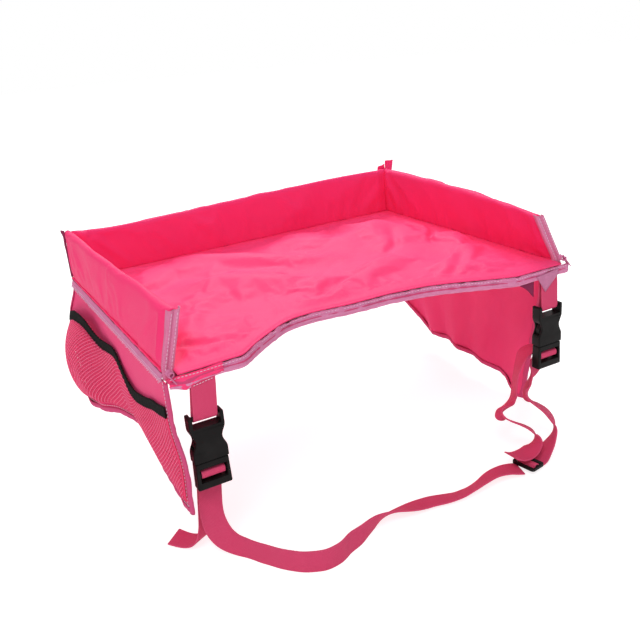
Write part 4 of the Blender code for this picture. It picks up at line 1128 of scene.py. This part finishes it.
def make_tapes():
    """The tapes along the front, the sides and the back of the tray, with their stitching and loose threads."""
    points = front_edge()
    corner = [point for point in points if point[0] < CORNER_END]
    inside = (0, 0.05, 0.002)
    edging("front_edge_tape", Line(points[len(corner) - 1:]), FRONT_SECTION, inside, 41, sag=hang,
           nodes=("front_edge_binding",))
    edging("front_corner_tape", Line(corner), FRONT_SECTION, inside, 41, "floor_cloth", sag=hang)
    inside = (0, 0.05, 0)
    edging("front_edge_lip", Line(points), FRONT_LIP_SECTION, inside, 44, "pale_tape", 0.0005, hang)
    # The strip in the tape's recess: painted shadow line.
    edging("front_edge_groove", Line(points), FRONT_SHADE_LINE_SECTION, inside, 46, "hem_tape", 0.0003, hang)
    seam = [Vector((x, y - 0.0015, 0.0040 + 0.0004 * ruffle(x * 60, 0, 9))) for x, y, _ in front_edge(120)]
    stitching("front_edge_stitching", [(seam, (0, -1, 0))], "tray", "binding")
    inside = (0, 0, 0.004)
    for name, side in SIDES.items():
        line = side_line(side)
        edging(name + "_side_tape", line, STRIP_SECTION, inside, 50 + side, nodes=(name + "_side_binding",))
        for part, section, seed, material, pucker in SIDE_TAPES:
            edging(name + "_side_" + part, line, section, inside, seed + side, material, pucker)
        fray(name + "_side_fray", side_line(side, -0.0004).points, side, 54 + side)
        row = [point + Vector((side * 0.0034, 0, 0.0016)) for point in line.points]
        stitching(name + "_side_stitching", [(row, (side, 0, 0))], "tray", "binding")
    seam_end()
    ends = [Vector((HALF_WIDTH, BACK_REACH, 0)), Vector((-HALF_WIDTH, BACK_REACH, 0))]
    line = Line([ends[0].lerp(ends[1], step / 60) for step in range(61)])
    edging("back_base_tape", line, STRIP_SECTION, inside, 57, nodes=("back_base_binding",))


def seam_end():
    """A dark corner of seam tape that hangs from the front edge beside the right tab; its dark colour also paints the
    shade in the gap there.
    """
    def place(across, down):
        foot = -0.0105 - 0.0091 * across
        x = 0.1420 + 0.0175 * across
        return Vector((x, front_y(x) + 0.0012, -0.0030 + (foot + 0.0030) * down * (0.2 + 0.8 * across)))

    # Dark tape here is the tape's corner, and its colour paints the shade in the gap beside the right tab.
    fold = sheet("right_seam_end_tape", evenly(0, 1, 10), evenly(0, 1, 8), place, (0.15, 0.1, 0), "dark_tape")
    settle(thicken(fold, 0.0010), "tray", "binding")


def fray(name, points, side, seed):
    """Short loose threads along the cut edge of a tape."""
    bm = bmesh.new()
    for index, (place, heading) in enumerate(walk(points, 0.0017)):
        lean = Vector((side * 0.9, 0.5 * ruffle(index * 0.7, 1, seed), -0.6 + 0.8 * ruffle(index * 0.9, 2, seed)))
        lean.normalize()
        reach = 0.0016 + 0.0020 * abs(ruffle(index * 1.3, 3, seed))
        turn = lean.to_track_quat("Z", "Y").to_matrix().to_4x4()
        start = place + Vector((side * 0.0030, 0, 0))
        matrix = Matrix.Translation(start + lean * reach / 2) @ turn
        bmesh.ops.create_cone(bm, cap_ends=True, segments=4, radius1=0.00034, radius2=0.00014, depth=reach,
                              matrix=matrix)
    settle(finished(bm, name, "thread"), "tray", "binding")


# Fins and knots


def make_fins():
    """Upright fins at the front ends of the side walls and at the back corners."""
    for name, side in SIDES.items():
        wall = side_wall_place(name)
        start = WALL_LENGTH + GAP

        def end_fin(height, across, wall=wall, side=side):
            wrap = max(0.0, -0.0012 - across, across - 0.0088)
            depth = min(0.0088, max(-0.0012, across))
            share = (depth + 0.0012) / 0.0100
            ribs = 0.0014 * abs(math.sin(math.tau * share)) ** 0.7
            wobble = 0.0006 * ruffle(height * 70, across * 90, 61 + side)
            horn = 0.0016 * smooth_step((height - WALL_HEIGHT + 0.005) / 0.005) * share**3
            wrap *= 0.45 + 0.55 * height / WALL_HEIGHT
            aside = 0.0007 * ruffle(height * 50, 1, 63 + side)
            return wall(start + 0.0003 + ribs + wobble - wrap, height + horn, depth + aside)

        fin = sheet(name + "_wall_end_tape", evenly(-0.001, WALL_HEIGHT - 0.0008, 50),
                    evenly(-0.0048, 0.0124, 28), end_fin,
                    wall(start - 0.02, WALL_HEIGHT / 2, WALL_THICKNESS / 2), "fin_tape")
        thicken(fin, 0.0006)
        settle(fin, "tray", "binding", name + "_wall_end_binding")
        heights = evenly(0.003, WALL_HEIGHT - 0.003, 30)
        rows = [([wall(start + 0.0019, height, depth) for height in heights], (0, -1, 0)) for depth in (0.0014, 0.0062)]
        stitching(name + "_wall_end_stitching", rows, "tray", "binding")

        def corner_fin(height, out, side=side):
            out *= 0.28 + 0.30 * smooth_step((height - 0.84) / 0.14)
            tip = 0.0020 * (out / 0.0065) ** 2
            z = BINDING_HEIGHT + (WALL_FOOT + WALL_HEIGHT + tip - BINDING_HEIGHT) * height
            sway = 0.0007 * ruffle(z * 80, out * 60, 71 + side)
            reach = (GAP + out) * math.sqrt(0.5)
            return Vector((side * (HALF_WIDTH + reach + sway), BACK_REACH + reach - sway, z))

        fin = sheet("back_" + name + "_corner_tape", evenly(0, 1, 40), evenly(0, 0.0065, 6), corner_fin,
                    (side, 0, 0), "wall_cloth" if side > 0 else "dark_tape")
        thicken(fin, 0.0014, offset=0.0)
        settle(fin, "tray", "binding", "back_" + name + "_corner_seam")
    small_fin()


def small_fin():
    """The two cut ends of the seam tape that stand up at the right back corner."""
    forms = {"tall": ((0.1978, 0.0550), (0.2072, 0.0540), (0.2100, 0.0672), (0.1982, 0.0680), -0.0004),
             "low": ((0.1876, 0.0530), (0.1984, 0.0530), (0.1980, 0.0634), (0.1880, 0.0618), 0.0012)}
    for name, (low, low_end, top_end, top, back) in forms.items():
        low, low_end, top_end, top = (Vector((x, 0, z)) for x, z in (low, low_end, top_end, top))

        def place(across, rise, low=low, low_end=low_end, top_end=top_end, top=top, back=back):
            spot = low.lerp(low_end, across).lerp(top.lerp(top_end, across), rise)
            curl = 0.0010 * math.sin(math.pi * across) * rise + 0.0008 * ruffle(across * 3, rise * 3, 77)
            return Vector((spot.x, BACK_REACH + back + 0.0006 - curl, spot.z))

        fin = sheet("right_corner_" + name + "_tip", evenly(0, 1, 10), evenly(0, 1, 10), place, (0.19, 0.3, 0.06),
                    "wall_cloth")
        settle(thicken(fin, 0.0012), "tray", "binding")


def knot_line(centre, radius, turns, end):
    """A loose turn of tape, and its free end."""
    points = []
    steps = round(turns * 16)
    for step in range(steps + 1):
        angle = math.tau * step / 16
        wide = radius * (1 - 0.25 * step / steps)
        points.append(Vector(centre) + Vector((wide * math.cos(angle), -0.0008 * step / 4, wide * math.sin(angle))))
    last = points[-1]
    for step in range(1, 8):
        points.append(last.lerp(Vector(end), step / 7))
    return Line(points)


def make_knots():
    """The turned-in ends of the tapes at both front corners."""
    flat = [(0.0, -0.0019), (0.0004, -0.0010), (0.0005, 0.0), (0.0004, 0.0010), (0.0, 0.0019)]
    left = knot_line((-0.1990, -0.1556, 0.0096), 0.0030, 1.6, (-0.1962, -0.1572, 0.0005))
    right = knot_line((0.1915, -0.1552, 0.0130), 0.0030, 1.4, (0.2050, -0.1530, 0.0012))
    for name, line in (("left", left), ("right", right)):
        side = SIDES[name]
        piece = tape(name + "_corner_knot", line, flat, (0, 1, 0), (side * 0.2, -0.15, 0.01), 120 + side, "tape",
                     0.0004, 0.0009)
        settle(piece, "tray", "binding")


# Flaps and pockets


class Flap:
    """The hanging form of one flap, which its bindings and its pocket follow."""

    def __init__(self, side, inset, drift, full_drop, drop_shares, sway, fold_depth):
        self.side = side
        self.front = FRONT_REACH - inset
        self.drift = drift
        self.full_drop = full_drop
        self.drop_shares = drop_shares
        self.sway_reach = sway
        self.fold_depth = fold_depth
        self.span = FLAP_BACK + self.front

    def drop(self, along):
        return self.full_drop * share_at(self.drop_shares, along)

    def edge_y(self, along, down):
        lowered = down / self.full_drop
        back = FLAP_BACK - FLAP_BACK_DRIFT * lowered ** (3.4 if self.side > 0 else 2.0)
        front = -self.front + self.drift * lowered
        return back + (front - back) * along

    def fold(self, along, down):
        """Soft folds, which open towards the lower edge."""
        way = along * self.span
        lowered = down / self.full_drop
        wave = (1 - math.cos(math.tau * way / FOLD_LENGTH)) / 2
        return self.fold_depth * wave * lowered + 0.0014 * lowered * ruffle(way * 45, down * 10, 80 + self.side)

    def sway(self, along, down):
        lowered = down / self.drop(along)
        return self.sway_reach * share_at([share_at(row, lowered) for row in SWAY_SHARES], along)

    def place(self, along, down, depth):
        out = HALF_WIDTH + GAP + self.fold(along, down) + self.sway(along, down) + depth
        return Vector((self.side * out, self.edge_y(along, down), -GAP - down))

    def bulge(self, along, share):
        reach = MOUTH_BULGE * (1 - share) + BELLY_BULGE * max(0.0, math.sin(math.pi * share)) ** 0.6
        gathers = 1 + 0.10 * ruffle(along * 11, share * 2, 84 + self.side)
        return reach * gathers * max(0.0, share_at(BULGE_SHARES, min(1.0, max(0.0, along))))

    def beside(self, along):
        """The share of the flap's way that lies inside the pocket's side seams."""
        margin = POCKET_MARGIN / self.span
        return margin + (1 - 2 * margin) * along

    def mouth_drop(self, along):
        return POCKET_MOUTH_DROP * share_at(MOUTH_DROP_SHARES, along)

    def pocket(self, along, share, depth):
        across = self.beside(along)
        top = self.mouth_drop(across)
        foot = self.drop(across) - POCKET_MARGIN
        return self.place(across, top + (foot - top) * share,
                          FLAP_THICKNESS + 2 * GAP + depth + self.bulge(across, share))

    def mouth(self, along, rise, depth):
        across = self.beside(along)
        rest = FLAP_THICKNESS + 2 * GAP + depth
        return self.place(across, self.mouth_drop(across) - rise, rest + self.bulge(across, 0))


FLAPS = {
    "left": Flap(-1, 0.005, -0.010, 0.118, (0.80, 0.88, 0.853, 0.805, 0.85, 0.90, 0.89, 0.93, 0.915), 0.015, 0.0012),
    "right": Flap(1, 0.027, 0.031, 0.138, (0.78, 0.98, 1.00, 0.985, 0.99, 1.01, 1.03, 1.08, 1.19), 0.004, 0.0050),
}


def make_flaps():
    for name, flap in FLAPS.items():
        span = flap.span
        inside = (flap.side * (HALF_WIDTH - 0.05), 0, -0.06)
        tall = flap.full_drop

        def cloth(way, down, flap=flap, span=span, tall=tall):
            along = way / span
            lowered = down / tall
            crease = 0.0005 * ruffle(way * 60 + down * 40, down * 50, 88 + flap.side)
            crease += 0.0020 * lowered * ruffle(way * 38 + down * 16, down * 9, 92 + flap.side)
            return flap.place(along, lowered * flap.drop(along), FLAP_THICKNESS * 0.5 + crease)

        piece = sheet(name + "_flap_cloth", evenly(0, span, 120), evenly(0, tall, 52), cloth, inside, "flap_cloth")
        thicken(piece, 0.0008, offset=0.0)
        lower = [flap.place(step / 120, flap.drop(step / 120) + 0.0010, FLAP_THICKNESS * 0.5) for step in range(121)]
        section = [(0.0014, 0.0026), (0.0018, 0.0004), (0.0012, -0.0024), (0.0, -0.0032), (-0.0012, -0.0024),
                   (-0.0018, 0.0004), (-0.0014, 0.0026)]
        hem = tape(name + "_hem_tape", Line(lower), section, (0, 0, 1), (flap.side * HALF_WIDTH, 0, -0.05), 90,
                   "hem_tape", 0.0006)
        edges = {}
        for end_name, along, up in (("back", 0.0, (0, -1, 0)), ("front", 1.0, (0, 1, 0))):
            low = flap.drop(along) + (0.0030 if along else 0.0)
            edge = [flap.place(along, low * step / 60, FLAP_THICKNESS * 0.5) for step in range(61)]
            edges[end_name] = tape(name + "_flap_" + end_name + "_tape", Line(edge), section, up, inside, 95,
                                   "hem_tape", 0.0006)
        drops = [flap.drop(along) + 0.004 for along in evenly(0, 1, 80)]
        settle(piece, name + "_flap", "flap_cloth", name + "_flap")
        settle(hem, name + "_flap", "binding", name + "_flap_hem")
        settle(edges["front"], name + "_flap", "binding", name + "_flap_front_binding")
        settle(edges["back"], name + "_flap", "binding")
        for hanging in (piece, *edges.values()):
            hinged(hanging)
        row = [flap.place(1 - 0.0045 / span, flap.drop(1) * step / 60, FLAP_THICKNESS + 0.0004) for step in range(61)]
        low_row = [flap.place(step / 80, flap.drop(step / 80) - 0.0030, FLAP_THICKNESS + 0.0004)
                   for step in range(81)]
        stitching(name + "_flap_stitching", [(row, (flap.side, 0, 0)), (low_row, (flap.side, 0, 0))],
                  name + "_flap", "binding")


def net_ribs(name, flap, width, height):
    """The heavier threads that run slantwise over the net."""
    bm = bmesh.new()
    lengths = bm.loops.layers.uv.new("lengths")
    pitch = sizes().net_rib_pitch
    first = -height * NET_RIB_LEAN
    for index in range(round((width - first) / pitch)):
        foot = first + pitch * index
        before = None
        for down in evenly(0, height, 36):
            way = foot + NET_RIB_LEAN * (height - down)
            if not 0.001 < way < width - 0.001:
                before = None
                continue
            pair = [bm.verts.new(flap.pocket((way + aside) / width, down / height, 0.0009))
                    for aside in (-NET_RIB_HALF_WIDTH, NET_RIB_HALF_WIDTH)]
            if before:
                turn = (before[0], before[1], pair[1], pair[0])
                face = bm.faces.new(turn if flap.side > 0 else turn[::-1])
                for loop in face.loops:
                    loop[lengths].uv = (loop.vert.co.y, loop.vert.co.z)
            before = pair
    piece = finished(bm, name + "_net_ribs", "net_rib")
    return settle(thicken(piece, 0.0006, offset=0.0), name + "_flap", "net")


def make_pockets():
    pitch = sizes().net_pitch
    for name, flap in FLAPS.items():
        width = flap.span - 2 * POCKET_MARGIN
        height = flap.full_drop * 0.80
        across_steps = round(width / pitch)
        down_steps = round(height / (pitch * 0.8))
        inside = (0, 0, -0.08)

        def net(way, down, flap=flap, width=width, height=height, step=height / down_steps):
            odd = round(down / step) % 2
            shift = pitch * 0.5 * odd if 0 < way < width - pitch * 0.5 else 0
            return flap.pocket((way + shift) / width, down / height, 0.0004)

        piece = sheet(name + "_pocket_net", evenly(0, width, across_steps), evenly(0, height, down_steps), net,
                      inside, "net")
        wires = piece.modifiers.new("threads", "WIREFRAME")
        wires.thickness = sizes().net_thread
        wires.use_even_offset = False
        wires.use_boundary = True
        settle(piece, name + "_flap", "net", name + "_mesh_pocket")

        ribs = net_ribs(name, flap, width, height)

        def band(way, rise, flap=flap, width=width):
            pleat = 0.0004 * math.sin(math.tau * way / 0.0042)
            sway = 0.0012 * ruffle(way * 40, 0, 101 + flap.side)
            return flap.mouth(way / width, rise + sway, 0.0008 + pleat)

        elastic = sheet(name + "_elastic_band", evenly(0, width, 240), evenly(0, ELASTIC_HEIGHT, 8), band, inside,
                        "elastic")
        thicken(elastic, 0.0012, offset=0.0)
        settle(elastic, name + "_flap", "elastic", name + "_pocket_elastic")
        reaches = [Line([flap.pocket(along, share, 0) for share in evenly(0, 1, 24)]).length
                   for along in evenly(0, 1, 40)]


# Tabs and buckles

TAB_LOOP = [
    (-0.0009, -0.0012), (-0.0013, -0.0060), (-0.0017, -0.0120), (-0.0021, -0.0190), (-0.0025, -0.0260),
    (-0.0027, -0.0320), (-0.0024, -0.0345), (-0.0014, -0.0358), (0.0, -0.0361), (0.0014, -0.0358),
    (0.0024, -0.0345), (0.0027, -0.0320), (0.0025, -0.0260), (0.0021, -0.0190), (0.0017, -0.0120),
    (0.0013, -0.0060), (0.0009, -0.0012),
]
TAB_ROOT = [(-0.0004, 0.0044), (-0.0005, 0.0028), (-0.0006, 0.0010), (-0.0008, -0.0010), (-0.0009, -0.0022)]


def make_tabs():
    for name, side in SIDES.items():
        slant = 0.0034 if side < 0 else 0.0
        points = [(side * STRAP_X + slant * (1 + z / 0.0361), TAB_Y + y, z) for y, z in TAB_LOOP]
        loop = ribbon(name + "_tab_loop", level_route(points), name + "_tab", "binding", (name + "_tab_webbing",))
        hinged(loop)
        points = [(side * STRAP_X + slant, TAB_Y + y, z) for y, z in TAB_ROOT]
        ribbon(name + "_tab_root", level_route(points), "tray", "binding")
    row = [Vector((-STRAP_X + 0.0030 + 0.0088 * share, TAB_Y - 0.0026, -0.0046 + 0.0012 * share))
           for share in evenly(-1, 1, 12)]
    stitching("left_tab_stitching", [(row, (0, -1, 0))], "left_tab", "binding", pitch=0.0024)
    fold_tab()


def fold_tab():
    """The corner of the right tab that is folded over its front."""
    tips = [Vector(tip) for tip in ((0.1596, 0.0012), (0.1862, 0.0036), (0.1868, -0.0012), (0.1708, -0.0160))]

    def place(across, down):
        top = tips[0].lerp(tips[1], across)
        low = tips[3].lerp(tips[2], across)
        spot = top.lerp(low, down)
        lift = 0.0012 * math.sin(math.pi * across) * math.sin(math.pi * down)
        return Vector((spot.x, TAB_Y - 0.0034 - lift, spot.y))

    piece = sheet("right_tab_fold", evenly(0, 1, 12), evenly(0, 1, 8), place, (0.177, 0, 0), "tape")
    settle(thicken(piece, 0.0010), "tray", "binding")
    hinged(piece)


def finish_solids():
    """Mouldings and boards keep their solids, with a worked material."""
    for entry in frame["record"]["subparts"]:
        slot = entry["material_slot"]
        if slot in ("moulding", "board"):
            node = frame["nodes"][entry["node"]]
            material = worked(slot)
            if node.material_slots:
                node.material_slots[0].material = material
            else:
                node.data.materials.append(material)


# Operators


class TRAY_OT_stage(bpy.types.Operator):
    """Camera, lamps, backdrop and floor"""
    bl_idname = "tray.stage"
    bl_label = "Stage"

    def execute(self, context):
        make_stage()
        return {"FINISHED"}


class TRAY_OT_strap(bpy.types.Operator):
    """The four free stretches of the strap"""
    bl_idname = "tray.strap"
    bl_label = "Strap"

    def execute(self, context):
        make_strap()
        return {"FINISHED"}


class TRAY_OT_turns(bpy.types.Operator):
    """Turns of webbing over the ladder bars and the slider"""
    bl_idname = "tray.turns"
    bl_label = "Strap turns"

    def execute(self, context):
        make_turns()
        return {"FINISHED"}


class TRAY_OT_floor(bpy.types.Operator):
    """Loose cloth of the floor and the cloth under the tray"""
    bl_idname = "tray.floor"
    bl_label = "Floor"

    def execute(self, context):
        make_floor()
        return {"FINISHED"}


class TRAY_OT_walls(bpy.types.Operator):
    """Padded sleeves of the three walls"""
    bl_idname = "tray.walls"
    bl_label = "Walls"

    def execute(self, context):
        make_walls()
        return {"FINISHED"}


class TRAY_OT_tapes(bpy.types.Operator):
    """Puckered tapes along the tray's edges, with their stitching"""
    bl_idname = "tray.tapes"
    bl_label = "Edge tapes"

    def execute(self, context):
        make_tapes()
        return {"FINISHED"}


class TRAY_OT_fins(bpy.types.Operator):
    """Upright tapes at the wall ends and back corners"""
    bl_idname = "tray.fins"
    bl_label = "Fins"

    def execute(self, context):
        make_fins()
        return {"FINISHED"}


class TRAY_OT_knots(bpy.types.Operator):
    """Turned-in tape ends at the front corners"""
    bl_idname = "tray.knots"
    bl_label = "Knots"

    def execute(self, context):
        make_knots()
        return {"FINISHED"}


class TRAY_OT_flaps(bpy.types.Operator):
    """Hanging flaps with their bindings"""
    bl_idname = "tray.flaps"
    bl_label = "Flaps"

    def execute(self, context):
        make_flaps()
        return {"FINISHED"}


class TRAY_OT_pockets(bpy.types.Operator):
    """Mesh pockets and their elastic"""
    bl_idname = "tray.pockets"
    bl_label = "Pockets"

    def execute(self, context):
        make_pockets()
        return {"FINISHED"}


class TRAY_OT_tabs(bpy.types.Operator):
    """Webbing tabs round the buckle bars"""
    bl_idname = "tray.tabs"
    bl_label = "Tabs"

    def execute(self, context):
        make_tabs()
        return {"FINISHED"}


class TRAY_OT_solids(bpy.types.Operator):
    """Finishes of the buckles, slider and boards"""
    bl_idname = "tray.solids"
    bl_label = "Mouldings and boards"

    def execute(self, context):
        finish_solids()
        return {"FINISHED"}


STEPS = (TRAY_OT_stage, TRAY_OT_strap, TRAY_OT_turns, TRAY_OT_floor, TRAY_OT_walls, TRAY_OT_tapes, TRAY_OT_fins,
         TRAY_OT_knots, TRAY_OT_flaps, TRAY_OT_pockets, TRAY_OT_tabs, TRAY_OT_solids)


class TRAY_PT_build(bpy.types.Panel):
    """The steps of the build and the values that they use"""
    bl_label = "Car seat tray"
    bl_space_type = "VIEW_3D"
    bl_region_type = "UI"
    bl_category = "Tray"

    def draw(self, context):
        for group in (context.scene.tray_sizes, context.scene.tray_colours):
            for key in group.__annotations__:
                self.layout.prop(group, key)
        for operator in STEPS:
            self.layout.operator(operator.bl_idname)


CLASSES = (TraySizes, TrayColours, *STEPS, TRAY_PT_build)


def register():
    for cls in CLASSES:
        bpy.utils.register_class(cls)
    bpy.types.Scene.tray_sizes = PointerProperty(type=TraySizes)
    bpy.types.Scene.tray_colours = PointerProperty(type=TrayColours)


def unregister():
    del bpy.types.Scene.tray_sizes
    del bpy.types.Scene.tray_colours
    for cls in reversed(CLASSES):
        bpy.utils.unregister_class(cls)


def main():
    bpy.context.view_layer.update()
    register()
    make_materials()
    for operator in STEPS:
        getattr(bpy.ops.tray, operator.bl_idname.split(".")[1])()


if __name__ == "__main__":
    main()
